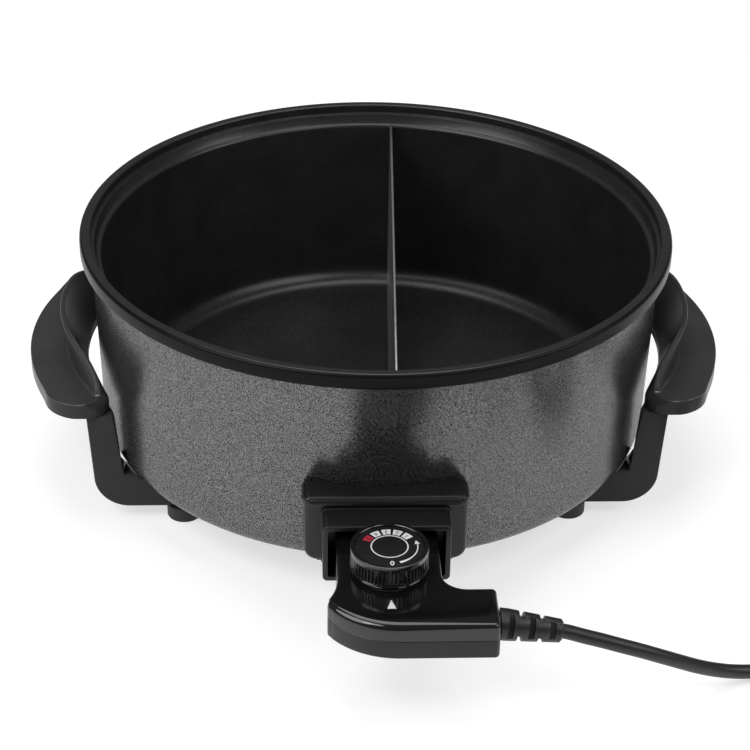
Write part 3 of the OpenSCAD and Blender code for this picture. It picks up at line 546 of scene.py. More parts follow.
def addPan(s):
    pan = spun("pan", panProfile(s), panAxis, s["around"])
    coatPan(pan, s)
    under = [panRib(s, radius) for radius in s["ribs"]]
    bosses = [(x, y, s["bossZ"], s["bossRadius"]) for x in (-s["footX"], s["footX"])
              for y in (-s["footY"], s["footY"])]
    for angle in s["strapAngles"]:
        bosses.append((*polar(s["strapRadius"], angle), s["ribZ"], s["strapBoss"]))
    for x, y, low, radius in bosses:
        under.append(rod("boss", at(x, y, low), at(x, y, s["base"] + s["sunk"]), radius))
    wide, tall = s["probeBoss"]
    under.append(block("boss", at(-wide / 2, -s["plateBack"], s["socketZ"] - tall / 2),
                       at(wide / 2, -s["wallLow"] + s["probeSunk"], s["socketZ"] + tall / 2)))
    for piece in under:
        softEdges(piece, s["bossEdge"], segments=2)
        piece.data.materials.append(finish["enamel"])
    joined(pan, under)
    dress(pan, [], "pan", "pan_coating", "pan_shell")


addPan(panSet)
print("pan made")

dividerSet = dict(thick=1.2, offset=9.3, turn=-1.9, top=131.5, foot=28.3, gap=0.4, edge=0.3)


def addDivider(s, p):
    reach = s["offset"] + s["thick"]
    wallFoot = p["floor"] + p["floorCorner"]
    slope = (p["bowlTop"] - p["bowlLow"]) / (p["stepZ"] - p["stepRound"] - wallFoot)
    halfLow = sqrt(p["bowlLow"] ** 2 - reach ** 2) - s["gap"]
    halfTop = halfLow + slope * (s["top"] - wallFoot)
    turn = p["floorCorner"] + s["gap"]
    side = [(halfTop, s["top"])] + arc(halfLow - turn, s["foot"] + turn, turn, 0, -90, 12)
    outline = side + [(-y, z) for y, z in reversed(side)]
    start = s["offset"] - s["thick"] / 2
    points = [Vector((start, y, z)) * mm for y, z in outline]
    plate = extruded("divider", points, (s["thick"] * mm, 0, 0))
    softEdges(plate, s["edge"])
    turned = Matrix.Rotation(radians(s["turn"]), 4, "Z")
    plate.data.transform(Matrix.Translation(panAxis) @ turned)
    dress(plate, ["brushedSteel"], "divider", "divider_steel", "divider_plate")


addDivider(dividerSet, panSet)
print("divider made")


# Handles: sections from back to front, each the crescent's outline with its heat shield

handleSet = dict(
    innerX=154, bow=115, outerX=184.5, sweep=130, half=71.5, end=14, endGap=0.05,
    z=64, plate=8.5, rise=23, spread=63, archFlat=4, archFade=1.35,
    ridge=5.5, lean=6.8, flare=45, flareFade=6,
    ridgeHalf=1.3, ridgeLift=0.3, ridgeTilt=0.1, ridgeRound=0.95, shoulder=3,
    waist=0.3, waistLift=0.1, waistRise=0.42, waistRound=14,
    foot=10, footIn=2.2, footFade=8, shareWidth=18,
    turn=20, edge=0.8, edgeShare=0.125, crease=1.8, rings=140,
    wall=4, hollowHalf=46, hollowSkip=7, hollowEdge=1,
    hollowBack=3.5, hollowRise=5, hollowFore=1.5,
    rubbedY=52, rubbedIn=1, rubbedFacing=(0.25, 0.93),
)


def handleEdges(s, y):  # inner and outer edge, drawn together over the round ends
    start = s["half"] - 2 * s["end"]
    held = min(abs(y), start) + s["turn"] * tanh(max(0, abs(y) - start) / s["turn"])
    over = max(0, abs(y) - s["half"] + s["end"]) / s["end"]
    inner = s["innerX"] - s["bow"] + sqrt(s["bow"] ** 2 - held * held)
    outer = s["outerX"] - s["sweep"] + sqrt(s["sweep"] ** 2 - held * held)
    middle = (inner + outer) / 2
    half = (outer - inner) / 2 * sqrt(1 - over * over)
    return middle - half, middle + half


def shieldArch(s, y):
    return max(0, 1 - (abs(y) / s["spread"]) ** s["archFlat"]) ** s["archFade"]


def shieldFoot(s, y):
    return s["foot"] - s["footIn"] * min(1, abs(y) / s["spread"]) ** s["footFade"]


def handleRing(s, y):
    inner, outer = handleEdges(s, y)
    w = outer - inner
    share = min(1, w / s["shareWidth"])
    arch = shieldArch(s, y)
    tuck = max(0, s["edge"] - (s["half"] - abs(y)))
    drop = s["edge"] - sqrt(s["edge"] ** 2 - tuck * tuck)  # rounds the ends over
    low = s["z"] + drop
    top = s["z"] + s["plate"] - drop
    flare = exp(-(abs(y) / s["flare"]) ** s["flareFade"])
    ridgeX = inner + share * (s["ridge"] + s["lean"] * flare)
    ridgeZ = top + s["ridgeLift"] + s["rise"] * arch
    half = s["ridgeHalf"] * share
    tip = s["ridgeRound"] * half
    footX = inner + share * shieldFoot(s, y)
    waistX = footX + s["waist"] * (ridgeX + half - footX)
    waistZ = top + s["waistLift"] + s["waistRise"] * s["rise"] * arch
    edge = min(s["edge"], w * s["edgeShare"])
    points = [
        (inner, low, edge), (inner, top - s["shoulder"], s["shoulder"]),
        (ridgeX - half, ridgeZ, tip), (ridgeX + half, ridgeZ - s["ridgeTilt"], tip),
        (waistX, waistZ, s["waistRound"]), (footX, top, s["crease"]),
        (outer, top, edge), (outer, low, edge),
    ]
    return [at(x, y, z) for x, z in filleted(points, filletSet)]


def hollowRing(s, y):
    inner, outer = handleEdges(s, y)
    back, fore = inner + s["wall"], outer - s["wall"]
    footX = inner + shieldFoot(s, y)
    low = s["z"] - past
    top = s["z"] + s["plate"] - s["wall"]
    points = [
        (back, low), (back, top - s["hollowEdge"]),
        (footX - s["hollowBack"], top + s["hollowRise"] * shieldArch(s, y)),
        (footX + s["hollowFore"], top), (fore, top), (fore, low),
    ]
    return [at(x, y, z) for x, z in points]


def rubEnds(handle, s):  # the ends' top edge is rubbed brighter
    low, high = s["rubbedFacing"]
    for face in handle.data.polygons:
        spot = (face.center - panAxis) / mm
        atEnd = abs(spot.y) > s["rubbedY"] and spot.x > handleEdges(s, spot.y)[0] + s["rubbedIn"]
        onEdge = low < face.normal.z < high and abs(spot.z - s["z"] - s["plate"]) < s["edge"]
        face.material_index = 1 if atEnd and onEdge else 0


def addHandles(s):
    count = s["rings"]
    places = [cos(pi * i / count) for i in range(count + 1)]
    handle = skinned("rightHandle", [handleRing(s, (s["half"] - s["endGap"]) * p) for p in places])
    hollow = [hollowRing(s, s["hollowHalf"] * p) for p in places[::s["hollowSkip"]]]
    cut(handle, skinned("hollow", hollow))
    rubEnds(handle, s)
    other = mirrored(handle, "leftHandle", -1, 1)
    for piece, node in ((handle, "right_handle"), (other, "left_handle")):
        dress(piece, ["bakelite", "bakeliteEdge"], "pan", "black_moulding", node)


addHandles(handleSet)
print("handles made")


# Legs and feet

legSet = dict(
    y=61.5, width=15, outTop=150.7, outLow=148.4, inTop=136.7, inLow=132.4, topZ=64,
    footZ=8, armTop=20, heelX=112, heelZ=27.8, bend=18, endX=91.8, endRound=4,
    edge=1.0, panGap=0.5, strutGap=1.2, sideGap=3.5, sideZ=32,
)
footSet = dict(x=102, out=2.5, radius=9.2, height=8, edge=0.9, topEdge=0.4, collar=5.5, collarHeight=3.8)
quarters = dict(front_right=(1, 1), front_left=(-1, 1), rear_right=(1, -1), rear_left=(-1, -1))


def atCorners(piece, ending, coat, slotName, node):  # a copy of the piece at each corner of the pan
    for corner, sides in quarters.items():
        copy = mirrored(piece, corner + ending, *sides)
        dress(copy, [coat], "pan", slotName, corner + node)
    bpy.data.objects.remove(piece)


def panRoom(p, under, beside):  # the pan's outside, let out by a gap under it and one beside it
    start = -degrees(asin((p["corner"] + under) / (p["corner"] + beside)))
    profile = ([(0, p["base"] - under)]
               + arc(p["wallLow"] - p["corner"], p["base"] + p["corner"], p["corner"] + beside,
                     start, 0, 16)
               + [(p["wallTop"] + beside, p["bandZ"]), (0, p["bandZ"])])
    return spun("panRoom", profile, panAxis, p["around"])


def sideRoom(p, beside, low):  # more room beside the wall than under the corner
    high = p["bandZ"]
    profile = [(0, low), (p["wallLow"] + beside, low), (p["wallTop"] + beside, high), (0, high)]
    return spun("sideRoom", profile, panAxis, p["around"])


def addLegs(s, p):
    heel = s["heelZ"] - s["armTop"]
    outline = ([(s["outTop"], s["topZ"])]
               + arc(s["outLow"] - s["bend"], s["footZ"] + s["bend"], s["bend"], 0, -90, 14)
               + arc(s["endX"] + s["endRound"], s["footZ"] + s["endRound"], s["endRound"], 270, 180, 6)
               + arc(s["endX"] + s["endRound"], s["armTop"] - s["endRound"], s["endRound"], 180, 90, 6)
               + [(s["heelX"], s["armTop"]), (s["heelX"] + heel, s["heelZ"]), (s["inLow"], s["heelZ"])]
               + [(s["inTop"], s["topZ"])])
    front = -s["y"] - s["width"] / 2
    leg = extruded("leg", [at(x, front, z) for x, z in outline], (0, s["width"] * mm, 0))
    softEdges(leg, s["edge"])
    cut(leg, panRoom(p, s["panGap"], s["strutGap"]))
    cut(leg, sideRoom(p, s["sideGap"], s["sideZ"]))
    atCorners(leg, "_support", "bakelite", "black_moulding", "_leg")


def addFeet(s, y):
    profile = ([(0, 0)] + arc(s["radius"] - s["edge"], s["edge"], s["edge"], -90, 0, 8)
               + [(s["radius"], s["height"] - s["topEdge"]), (s["radius"] - s["topEdge"], s["height"])]
               + [(0, s["height"])])
    foot = spun("foot", profile, at(s["x"], -y - s["out"], 0), steps=64)
    low, high = s["height"] - s["collarHeight"], s["height"] + s["collarHeight"]
    weld(foot, rod("collar", at(s["x"], -y, low), at(s["x"], -y, high), s["collar"]))
    atCorners(foot, "_pad", "footBlack", "foot_rubber", "_foot")


addLegs(legSet, panSet)
addFeet(footSet, legSet["y"])
print("legs and feet made")


# Socket on the pan's front: a hood with an eave, and the shroud round the terminals

hoodSet = dict(
    front=160, back=132, width=79, low=38, high=74.8, corner=3, lowCorner=7, edge=2.2,
    panGap=0.3, wall=2.5, sideWall=3, topWall=3.5, openingGap=0.2,
    eaveOver=1, eaveHeight=4.8, eaveSide=1, eaveBack=30, eaveCorner=6, eaveEdge=3.8, eaveFoot=0.8,
)
shroudSet = dict(
    front=175.5, plateFront=157.3, plateBack=155, width=61.4, low=37.2, high=68.8,
    corner=2.5, wall=2.5, roomCorner=1.2, edge=0.7,
    flange=2.5, flangeRise=0.6, flangeCorner=0.5,
    beadRise=0.7, beadFront=161.3, beadBack=160.05, beadEdge=0.5,
    pinX=15, pinHole=4.6, probeHole=3.3, screwZ=8.5, screwHole=1.8,
)


def frontSolid(name, width, low, high, corner, front, back, lowCorner=None):
    middle = (low + high) / 2
    outline = rounded(width, high - low, corner, lowRadius=lowCorner)
    return extruded(name, [at(x, -front, middle + z) for x, z in outline], (0, (front - back) * mm, 0))


def shroudSolid(s, name, grow, front, back):  # the shroud's own outline, let out by grow
    return frontSolid(name, s["width"] + 2 * grow, s["low"] - grow, s["high"] + grow, s["corner"] + grow,
                      front, back)


def softFront(piece, front, edge, segments):
    return softFace(piece, "y", at(0, -front, 0).y, edge, segments)


def addEave(s):
    front = s["front"] + s["eaveOver"]
    back = s["back"] - s["eaveBack"]
    low = s["high"] - s["eaveHeight"]
    plan = rounded(s["width"] + 2 * s["eaveSide"], front - back, s["eaveCorner"], steps=8)
    middle = -(front + back) / 2
    eave = extruded("eave", [at(x, middle + y, low) for x, y in plan], (0, 0, s["eaveHeight"] * mm))
    softFace(eave, "z", at(0, 0, s["high"]).z, s["eaveEdge"], segments=8)
    return softFace(eave, "z", at(0, 0, low).z, s["eaveFoot"], segments=3)


def addHood(s, h, p):
    hood = frontSolid("socketHood", s["width"], s["low"], s["high"], s["corner"], s["front"], s["back"],
                      s["lowCorner"])
    softFront(hood, s["front"], s["edge"], segments=4)
    weld(hood, addEave(s))
    cut(hood, rod("panRoom", panAxis, at(0, 0, p["height"]), p["wallTop"] + s["panGap"], p["around"]))
    half = s["width"] / 2 - s["sideWall"]
    cut(hood, block("room", at(-half, s["wall"] - s["front"], 0), at(half, 0, s["high"] - s["topWall"])))
    cut(hood, shroudSolid(h, "opening", s["openingGap"], s["front"] + past, s["back"]))
    dress(hood, ["hoodBlack"], "pan", "black_moulding", "socket_hood", angle=30)


def addShroud(s, p):
    shroud = shroudSolid(s, "socketShroud", 0, s["front"], s["plateBack"])
    softFront(shroud, s["front"], s["edge"], segments=4)
    bead = shroudSolid(s, "bead", s["beadRise"], s["beadFront"], s["beadBack"])
    weld(shroud, softFront(bead, s["beadFront"], s["beadEdge"], segments=3))
    rise = s["flangeRise"]
    weld(shroud, frontSolid("plate", s["width"] + 2 * s["flange"], s["low"] - rise, s["high"] + rise,
                            s["flangeCorner"], s["plateFront"], s["plateBack"]))
    inner = s["wall"]
    cut(shroud, frontSolid("room", s["width"] - 2 * inner, s["low"] + inner, s["high"] - inner,
                           s["roomCorner"], s["front"] + past, s["plateFront"]))
    holes = [(-s["pinX"], 0, s["pinHole"]), (s["pinX"], 0, s["pinHole"]), (0, 0, s["probeHole"]),
             (0, s["screwZ"], s["screwHole"]), (0, -s["screwZ"], s["screwHole"])]
    for x, z, radius in holes:
        height = p["socketZ"] + z
        start = at(x, -s["front"], height)
        cut(shroud, rod("hole", start, at(x, past - s["plateBack"], height), radius))
    dress(shroud, ["hoodBlack"], "pan", "black_moulding", "socket_shroud")


addHood(hoodSet, shroudSet, panSet)
addShroud(shroudSet, panSet)
print("socket made")


# Thermostat case: two halves of one outline, drawn about the middle of the hood's face

caseSet = dict(
    face=160, nose=1, noseRound=3, neck=49, length=81.7, wingX=49, wingDepth=29,
    wingRound=2.5, wingFillet=11.5, sweep=40, sweepX=4, sweepEnd=141,
    cheek=(-25.2, -62.5), cheekRound=4, cheekTurn=(230, 150), flank=30, flankAngle=30, flankBack=38.1,
    low=42, middle=52, high=60.75, wall=2, roomOver=5,
    seam=0.22, footEdge=1.2, topEdge=2.2, sweepEdge=1.6, edgeSteps=8,
    sweepFade=(36, 40), cheekFade=(52, 24),
    knobY=38, collar=18.0, bushHole=5.1,
    collarRows=[  # how far inside the collar's radius, how far over the case's top
        (0.9, -1), (0.9, 0.2), (0.2, 0.35), (0, 0.6), (0.1, 0.9), (0.7, 1.1), (0.7, 1.4), (0.1, 1.6),
        (0, 1.8), (0, 2.1), (0.3, 2.4),
    ],
    sleeveX=15, sleeveHole=4.1, probeHole=3.1, reliefY=68.8, reliefHole=5.1,
)


def casePoint(s, x, y, z):
    return at(x, y - s["face"], z)


def caseOutline(s, inset=0):
    back = s["length"] - s["wingDepth"]
    half = s["neck"] / 2
    nose = -s["nose"] - s["noseRound"]
    noseRound = s["noseRound"] - inset
    wingRound = s["wingRound"] - inset
    fillet = s["wingFillet"]
    wing = s["wingX"] - s["wingRound"]
    return (arc(half - s["noseRound"], nose, noseRound, 90, 0, 8)
            + arc(half + fillet, fillet - back, fillet + inset, 180, 270, 14)
            + arc(wing, -back - s["wingRound"], wingRound, 90, 0, 6)
            + arc(wing, s["wingRound"] - s["length"], wingRound, 0, -90, 6)
            + arc(s["sweepX"], s["sweep"] - s["length"], s["sweep"] - inset, -90, -s["sweepEnd"], 20)
            + arc(*s["cheek"], s["cheekRound"] - inset, *s["cheekTurn"], 8)
            + arc(-half - s["flank"], s["flankBack"] - s["length"], s["flank"] + inset,
                  -s["flankAngle"], 0, 10)
            + arc(s["noseRound"] - half, nose, noseRound, 180, 90, 8))


def softStep(value):
    share = max(0, min(1, value))
    return share * share * (3 - 2 * share)


def topEdge(s, x, y):  # the top's edge is rounder along the swept front than at the wing and the neck
    start, span = s["sweepFade"]
    depth, reach = s["cheekFade"]
    return s["topEdge"] + s["sweepEdge"] * softStep((start - x) / span) * softStep((-y - depth) / reach)


def caseHalf(s, name, farZ, edge, roomLow, roomHigh):  # from the seam to the far face, rounded there
    outline = caseOutline(s)
    seamZ = s["middle"]
    up = 1 if farZ > seamZ else -1
    sides = []
    for i in range(len(outline)):
        ahead = Vector(outline[(i + 1) % len(outline)]) - Vector(outline[i - 1])
        sides.append(Vector((-ahead.y, ahead.x)).normalized())

    def ring(depthAt, heightAt):
        points = []
        for (x, y), side in zip(outline, sides):
            r = edge(s, x, y)
            depth = depthAt(r)
            points.append(casePoint(s, x - side.x * depth, y - side.y * depth, heightAt(r)))
        return points

    rings = [ring(lambda r: s["seam"], lambda r: seamZ)]
    rings.append(ring(lambda r: 0, lambda r: seamZ + up * s["seam"]))
    for k in range(s["edgeSteps"] + 1):
        a = pi / 2 * k / s["edgeSteps"]
        rings.append(ring(lambda r: r * (1 - cos(a)), lambda r: farZ + up * r * (sin(a) - 1)))
    half = skinned(name, rings)
    room = Vector((0, 0, roomHigh - roomLow)) * mm
    inner = caseOutline(s, s["wall"])
    return cut(half, extruded("room", [casePoint(s, x, y, roomLow) for x, y in inner], room))


def casePorts(s, half):
    z = s["middle"]
    inside = -s["nose"] - s["wall"] - past
    for side, radius in ((-1, s["sleeveHole"]), (1, s["sleeveHole"]), (0, s["probeHole"])):
        x = side * s["sleeveX"]
        cut(half, rod("port", casePoint(s, x, past, z), casePoint(s, x, inside, z), radius))
    start = casePoint(s, s["wingX"] - s["wall"] - past, -s["reliefY"], z)
    cut(half, rod("port", start, casePoint(s, s["wingX"] + past, -s["reliefY"], z), s["reliefHole"]))


def addCase(s):
    top, seamZ = s["high"], s["middle"]
    lower = caseHalf(s, "lowerCase", s["low"], lambda c, x, y: c["footEdge"], s["low"] + s["wall"],
                     seamZ + s["roomOver"])
    casePorts(s, lower)
    dress(lower, ["caseSatin"], "thermostat", "black_moulding", "lower_case")
    upper = caseHalf(s, "upperCase", top, topEdge, seamZ - s["roomOver"], top - s["wall"])
    casePorts(s, upper)
    cut(upper, rod("bore", casePoint(s, 0, -s["knobY"], seamZ), casePoint(s, 0, -s["knobY"], top + past),
                   s["bushHole"], sides=64))
    rows = [(s["collar"] - inset, top + rise) for inset, rise in s["collarRows"]]
    ring = [(s["bushHole"], rows[0][1])] + rows + [(s["bushHole"], rows[-1][1])]
    joined(upper, [spun("collar", ring, casePoint(s, 0, -s["knobY"], 0))])
    dress(upper, ["caseGloss"], "thermostat", "gloss_black", "upper_case")


addCase(caseSet)
print("case made")

pointerSet = dict(tip=(0.0, -61.6), base=2.1, length=6.7, z=60.78, thick=0.1, edge=0.35)


def addPointer(s, c):
    x, y = s["tip"]
    corner = [(x, y), (x - s["base"], y - s["length"]), (x + s["base"], y - s["length"])]
    points = [casePoint(c, px, py, s["z"] - s["thick"]) for px, py in corner]
    pointer = extruded("pointer", points, (0, 0, 2 * s["thick"] * mm))
    softEdges(pointer, s["edge"], angle=20)
    dress(pointer, ["printWhite"], "thermostat", "dial_print")


addPointer(pointerSet, caseSet)
print("pointer made")


# Knob: a ribbed drum with a printed dial let into its top

knobSet = dict(
    low=63.45, high=74.45, radius=18.5, ribs=60, ribDepth=0.55, ribRound=1.5, perRib=6,
    lip=16.4, lipEdge=0.15, dialDepth=1.3, bore=3.1, hub=0.01,
    footRows=[  # how far inside the radius, how far over the foot, share of the ribs' depth
        (1.2, 0, 0), (0.25, 0, 0), (0, 0.25, 0), (0, 0.6, 0), (0.15, 0.8, 0), (0.75, 0.9, 0),
        (0.75, 1.5, 0), (0.2, 1.55, 1),
    ],
    topRows=[  # the same, but how far under the top
        (0.2, 3.2, 1), (0.15, 2.9, 0.2), (0.15, 2.8, 0), (0.15, 0.45, 0), (0.2, 0.2, 0), (0.32, 0.05, 0),
        (0.5, 0, 0),
    ],
)
dialSet = dict(
    radius=16.3, z=73.7, thick=0.5, edge=0.15, ink=0.06, circle=(8.25, 8.85),
    marks=(9.6, 13.5), markCount=5, firstMark=147, markStep=-25.8, markWidth=20, numeral=3.3,
    zeroAngle=-87, zeroRadius=13.1, zero=(0.5, 1.0), zeroTall=1.7,
    arrowRadius=13.1, arrowStart=-71, arrowEnd=9, arrowWide=1.5, arrowThin=0.55,
    arrowTaper=2.2, arrowSteps=20, arrowHead=[(-1.3, -0.2), (1.3, -0.2), (-0.2, 2.6)],
)


def addKnob(s, c):
    foot = casePoint(c, 0, -c["knobY"], 0)
    r, low, high = s["radius"], s["low"], s["high"]
    seat = high - s["dialDepth"]
    rows = [(s["bore"], low, 0)]
    rows += [(r - inset, low + up, share) for inset, up, share in s["footRows"]]
    rows += [(r - inset, high - down, share) for inset, down, share in s["topRows"]]
    rows += [(s["lip"] + s["lipEdge"], high, 0), (s["lip"], high - s["lipEdge"], 0)]
    rows += [(s["lip"], seat, 0), (s["hub"], seat, 0)]
    count = s["ribs"] * s["perRib"]
    angles = [fullTurn * k / count for k in range(count)]
    rings = []
    for radius, z, share in rows:
        ring = []
        for a in angles:
            dip = s["ribDepth"] * share * (0.5 - 0.5 * cos(s["ribs"] * a)) ** s["ribRound"]
            out = radius - dip
            ring.append(foot + Vector((out * cos(a), out * sin(a), z)) * mm)
        rings.append(ring)
    dress(skinned("knob", rings), ["knobGloss"], "dial", "gloss_black", "knob", angle=28)


def dialPrint(s, foot, name, outline):
    z = s["z"] - s["ink"]
    return extruded(name, [foot + Vector((x, y, z)) * mm for x, y in outline], (0, 0, 2 * s["ink"] * mm))


def dialSector(s, foot, name, inner, outer, start, end, steps=10):
    outline = arc(0, 0, outer, start, end, steps) + arc(0, 0, inner, end, start, steps)
    return dialPrint(s, foot, name, outline)


def dialRing(s, foot, name, inner, outer, steps):  # in two halves
    return [dialSector(s, foot, name, inner, outer, start, start + 180, steps) for start in (0, 180)]


def dialNumeral(s, foot, text, angle):
    deselectAll()
    bpy.ops.object.text_add()
    numeral = newPiece("numeral")
    numeral.data.body = text
    numeral.data.size = s["numeral"] * mm
    numeral.data.align_x = "CENTER"
    numeral.data.align_y = "CENTER"
    numeral.data.extrude = s["ink"] * mm
    bpy.ops.object.convert(target="MESH")
    turn = Matrix.Rotation(radians(angle) + pi / 2, 4, "Z")
    spot = foot + Vector((*polar(sum(s["marks"]) / 2, angle), s["z"] + s["ink"])) * mm
    numeral.data.transform(Matrix.Translation(spot) @ turn)
    return closeUp(numeral)


def dialArrow(s, foot):  # a sweep that thins towards its head
    start, end = s["arrowStart"], s["arrowEnd"]
    outer, inner = [], []
    for i in range(s["arrowSteps"] + 1):
        share = i / s["arrowSteps"]
        angle = start + (end - start) * share
        half = (s["arrowWide"] + (s["arrowThin"] - s["arrowWide"]) * min(1, s["arrowTaper"] * share)) / 2
        outer.append(polar(s["arrowRadius"] + half, angle))
        inner.append(polar(s["arrowRadius"] - half, angle))
    turn = Matrix.Rotation(radians(end), 2)
    head = [turn @ Vector((s["arrowRadius"] + x, y)) for x, y in s["arrowHead"]]
    return [dialPrint(s, foot, "arrow", outer + inner[::-1]), dialPrint(s, foot, "arrowHead", head)]


def dialZero(s, foot):  # a ring drawn out to an upright oval
    spot = foot + Vector((*polar(s["zeroRadius"], s["zeroAngle"]), 0)) * mm
    tall = Matrix.Diagonal((1, s["zeroTall"], 1, 1))
    tall = Matrix.Translation(spot) @ tall @ Matrix.Translation(-spot)
    halves = dialRing(s, spot, "zero", *s["zero"], steps=16)
    for half in halves:
        half.data.transform(tall)
    return halves


def addDial(s, c):
    foot = casePoint(c, 0, -c["knobY"], 0)
    r, z, edge = s["radius"], s["z"], s["edge"]
    low = z - s["thick"]
    disc = spun("dialDisc", [(0, low), (r, low), (r, z - edge), (r - edge, z), (0, z)], foot)
    dress(disc, ["dialBlack"], "dial", "dial_print", "dial_disc")
    white = dialRing(s, foot, "dialCircle", *s["circle"], steps=48)
    white += dialArrow(s, foot) + dialZero(s, foot)
    dark = []
    half = s["markWidth"] / 2
    for i in range(s["markCount"]):
        angle = s["firstMark"] + i * s["markStep"]
        white.append(dialSector(s, foot, "mark", *s["marks"], angle - half, angle + half))
        dark.append(dialNumeral(s, foot, str(s["markCount"] - i), angle))
    red = white.pop(-s["markCount"])  # the highest mark
    red.name = "dialRedMark"
    dress(red, ["printRed"], "dial", "dial_print")
    for name, pieces, coat in (("dialScale", white, "printWhite"), ("dialNumerals", dark, "dialBlack")):
        whole = joined(pieces[0], pieces[1:])
        whole.name = name
        dress(whole, [coat], "dial", "dial_print")


addKnob(knobSet, caseSet)
addDial(dialSet, caseSet)
print("knob and dial made")


# Strain relief, drooping with the cord

reliefSet = dict(
    length=29.5, tilt=8.8, roll=-31, base=7.5, straight=3.5, tip=5.5, tipEdge=0.8, neck=5,
    neckIn=3, neckOut=2, sunk=0.5, gap=0.8, slot=2.8, skin=4.3, edge=0.35, square=20,
    sideSlots=(1 / 3, 2 / 3), topSlots=(1 / 6, 1 / 2, 5 / 6),
)


def addRelief(s, c):
    root = casePoint(c, c["wingX"], -c["reliefY"], c["middle"])
    base, tip, end = s["base"], s["tip"], s["length"]
    lead = base * tan(radians(s["tilt"])) + s["sunk"]
    profile = [(0, -lead), (base, -lead), (base, 0), (base, s["straight"]), (tip, end - s["tipEdge"]),
               (tip - s["tipEdge"], end), (0, end)]
    sleeve = spun("strainRelief", profile, Vector((0, 0, 0)), steps=64)
    reach = 2 * base
    half = s["slot"] / 2
    for share in s["sideSlots"] + s["topSlots"]:
        z = end * share
        for side in (-1, 1):
            near, far = sorted((side * s["skin"], side * reach))
            low, high = (near, -reach), (far, reach)
            if share in s["topSlots"]:
                low, high = low[::-1], high[::-1]
            cut(sleeve, block("slot", Vector((*low, z - half)) * mm, Vector((*high, z + half)) * mm))
    softEdges(sleeve, s["edge"], segments=2, angle=50)
    droop = Matrix.Rotation(radians(90 + s["tilt"]), 4, "Y")
    roll = Matrix.Rotation(radians(s["roll"]), 4, "Z")
    sleeve.data.transform(Matrix.Translation(root) @ droop @ roll)
    wide = s["square"]  # squares the root off beside the case
    low, high = root - Vector((wide, wide, wide)) * mm, root + Vector((s["gap"], wide, wide)) * mm
    cut(sleeve, block("square", low, high))
    along = Vector((mm, 0, 0))
    joined(sleeve, [rod("neck", root - s["neckIn"] * along, root + s["neckOut"] * along, s["neck"])])
    dress(sleeve, ["leadBlack"], "thermostat", "cord_rubber", "strain_relief")


addRelief(reliefSet, caseSet)
print("strain relief made")


# Plug, put away with the coil

plugSet = dict(
    y=-112, z=18.6, radius=18.5, tail=24, tailRadius=5.5, tailEdge=0.5, tailFlare=1,
    ridges=4, ridgeStart=4, ridgeStep=5, ridge=[(0.2, 0), (0.9, 0.6), (0.9, 2.4), (0.3, 3)],
    neck=10, neckRound=1, neckRise=3, shoulder=7, shoulderRise=19, shoulderTurn=340, body=38,
    faceEdge=1.5, edge=0.3, groove=(6, 3, 14), pinX=9.5, pinRadius=2.4, pinLength=19, pinRoot=0.4,
    rootRadius=3.1, rootGap=0.1, rootDepth=12,
)


def plugProfile(s, face):
    r, tail, thin = s["radius"], s["tail"], s["tailRadius"]
    ridges = [(thin + out, s["ridgeStart"] + s["ridgeStep"] * i + up)
              for i in range(s["ridges"]) for out, up in s["ridge"]]
    return ([(0, 0), (thin - s["tailEdge"], 0), (thin, s["tailEdge"])] + ridges
            + [(thin + s["tailFlare"], tail)]
            + arc(s["neck"] + s["neckRound"], tail + s["neckRise"], s["neckRound"], 270, 360, 4)
            + arc(r - s["shoulder"], tail + s["shoulderRise"], s["shoulder"], s["shoulderTurn"], 360, 5)
            + arc(r - s["faceEdge"], face - s["faceEdge"], s["faceEdge"], 0, 90, 6) + [(0, face)])


def addPlug(s):
    face = s["tail"] + s["body"]
    r, root, depth = s["radius"], s["rootRadius"], s["rootDepth"]
    sides = (-s["pinX"], s["pinX"])
    plug = spun("mainsPlug", plugProfile(s, face), Vector((0, 0, 0)), steps=96)
    wide, deep, long = s["groove"]
    for side in (-1, 1):
        low, high = sorted((side * (r - deep), side * (r + past)))
        cut(plug, block("groove", Vector((-wide / 2, low, face - long)) * mm,
                        Vector((wide / 2, high, face + past)) * mm))
    for x in sides:
        cut(plug, rod("hole", Vector((x, 0, face - depth)) * mm, Vector((x, 0, face + past)) * mm,
                      root + s["rootGap"]))
    softEdges(plug, s["edge"], segments=2, angle=50)
    there = Matrix.Translation(at(plugX, s["y"], s["z"])) @ Matrix.Rotation(-pi / 2, 4, "X")
    plug.data.transform(there)
    dress(plug, ["plugBlack"], "thermostat", "plug_black", "mains_plug")
    thin, tip = s["pinRadius"], s["pinLength"]
    outline = ([(0, -depth), (root, -depth), (root, -s["pinRoot"]), (thin, 0)]
               + arc(0, tip - thin, thin, 0, 90, 8)[:-1] + [(0, tip)])
    pins = [spun("pin", outline, Vector((x, 0, face)) * mm, steps=48) for x in sides]
    both = joined(pins[0], pins[1:])
    both.name = "plugPins"
    both.data.transform(there)
    dress(both, ["nickel"], "thermostat", "nickel_pins", "plug_pins")
    return plug, both


plug, plugPins = addPlug(plugSet)
print("plug made")


# Inner and under pieces keep their solids and get the finish of their own metal

nodeFinish = dict(
    brightSteel=["element_straps", "strap_screws", "shroud_screws", "handle_screws", "foot_screws",
                 "case_screws", "probe", "cord_clamp", "knob_spindle"],
    brass=["terminal_pins", "contact_sleeves", "bimetal_blade", "spindle_bush"],
    ceramic=["terminal_insulators", "switch_block"],
    sheath=["heating_element"],
    nickel=["earth_clips"],
    leadBlack=["cord_tie"],
)
for finishName, names in nodeFinish.items():
    for name in names:
        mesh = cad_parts[name].data
        mesh.materials.clear()
        mesh.materials.append(finish[finishName])
print("inner pieces finished")


# Studio: a white floor that keeps the shadow, a dim white surround and soft lamps

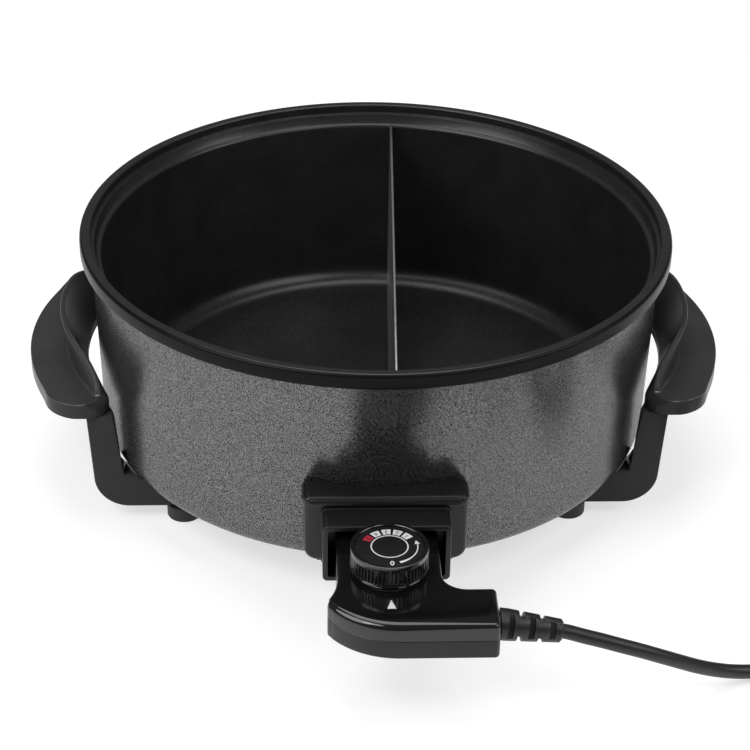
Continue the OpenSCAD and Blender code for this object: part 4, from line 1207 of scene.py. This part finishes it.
studioSet = dict(
    floorSize=14, floorColor=(0.5, 0.5, 0.5), floorRoughness=0.55, floorGlow=0.63, surround=0.17,
    lamps=[  # name, place, aim, size, power
        ("topLamp", (0, 0.35, 1.6), (0, 0.05, 0.05), 1.3, 12),
        ("keyLamp", (-0.85, -0.5, 0.95), (0, -0.1, 0.06), 0.9, 8),
        ("frontLeftLamp", (-0.55, -0.75, 1.2), (0, -0.05, 0.06), 0.5, 3.0),
        ("frontRightLamp", (0.6, -0.75, 1.2), (0, -0.05, 0.06), 0.5, 2.6),
        ("rightLamp", (1.1, -0.3, 0.9), (0, -0.1, 0.08), 0.7, 4.5),
    ],
)


def brightRays(tree):  # the rays that see the floor white
    path = newNode(tree, "LightPath")
    value = path.outputs["Is Camera Ray"]
    for name in ("Is Glossy Ray", "Is Transmission Ray"):
        most = newNode(tree, "Math")
        most.operation = "MAXIMUM"
        tree.links.new(value, most.inputs[0])
        tree.links.new(path.outputs[name], most.inputs[1])
        value = most.outputs[0]
    return value


def addFloor(s):
    deselectAll()
    bpy.ops.mesh.primitive_plane_add(size=s["floorSize"])
    floor = newPiece("floor")
    material, tree, shader, _ = newFinish("floorWhite")
    glow = addRange(tree, brightRays(tree), 0.0, s["floorGlow"])
    feed(tree, shader, Base_Color=(*tone(s["floorColor"]), 1), Roughness=s["floorRoughness"],
         Emission_Color=(1, 1, 1, 1), Emission_Strength=glow)
    floor.data.materials.append(material)


def addSurround(s):
    world = bpy.data.worlds.new("surround")
    world.use_nodes = True
    bpy.context.scene.world = world
    background = world.node_tree.nodes["Background"]
    background.inputs["Color"].default_value = (1, 1, 1, 1)
    background.inputs["Strength"].default_value = s["surround"]


def addLamps(s):
    for name, spot, aim, size, power in s["lamps"]:
        deselectAll()
        bpy.ops.object.light_add(type="AREA", location=spot)
        lamp = bpy.context.object
        lamp.name = name
        lamp.data.shape = "DISK"
        lamp.data.size = size
        lamp.data.energy = power
        lamp.rotation_euler = (Vector(aim) - Vector(spot)).to_track_quat("-Z", "Y").to_euler()


addFloor(studioSet)
addSurround(studioSet)
addLamps(studioSet)
bpy.context.scene.view_settings.view_transform = "Standard"
print("studio lit")
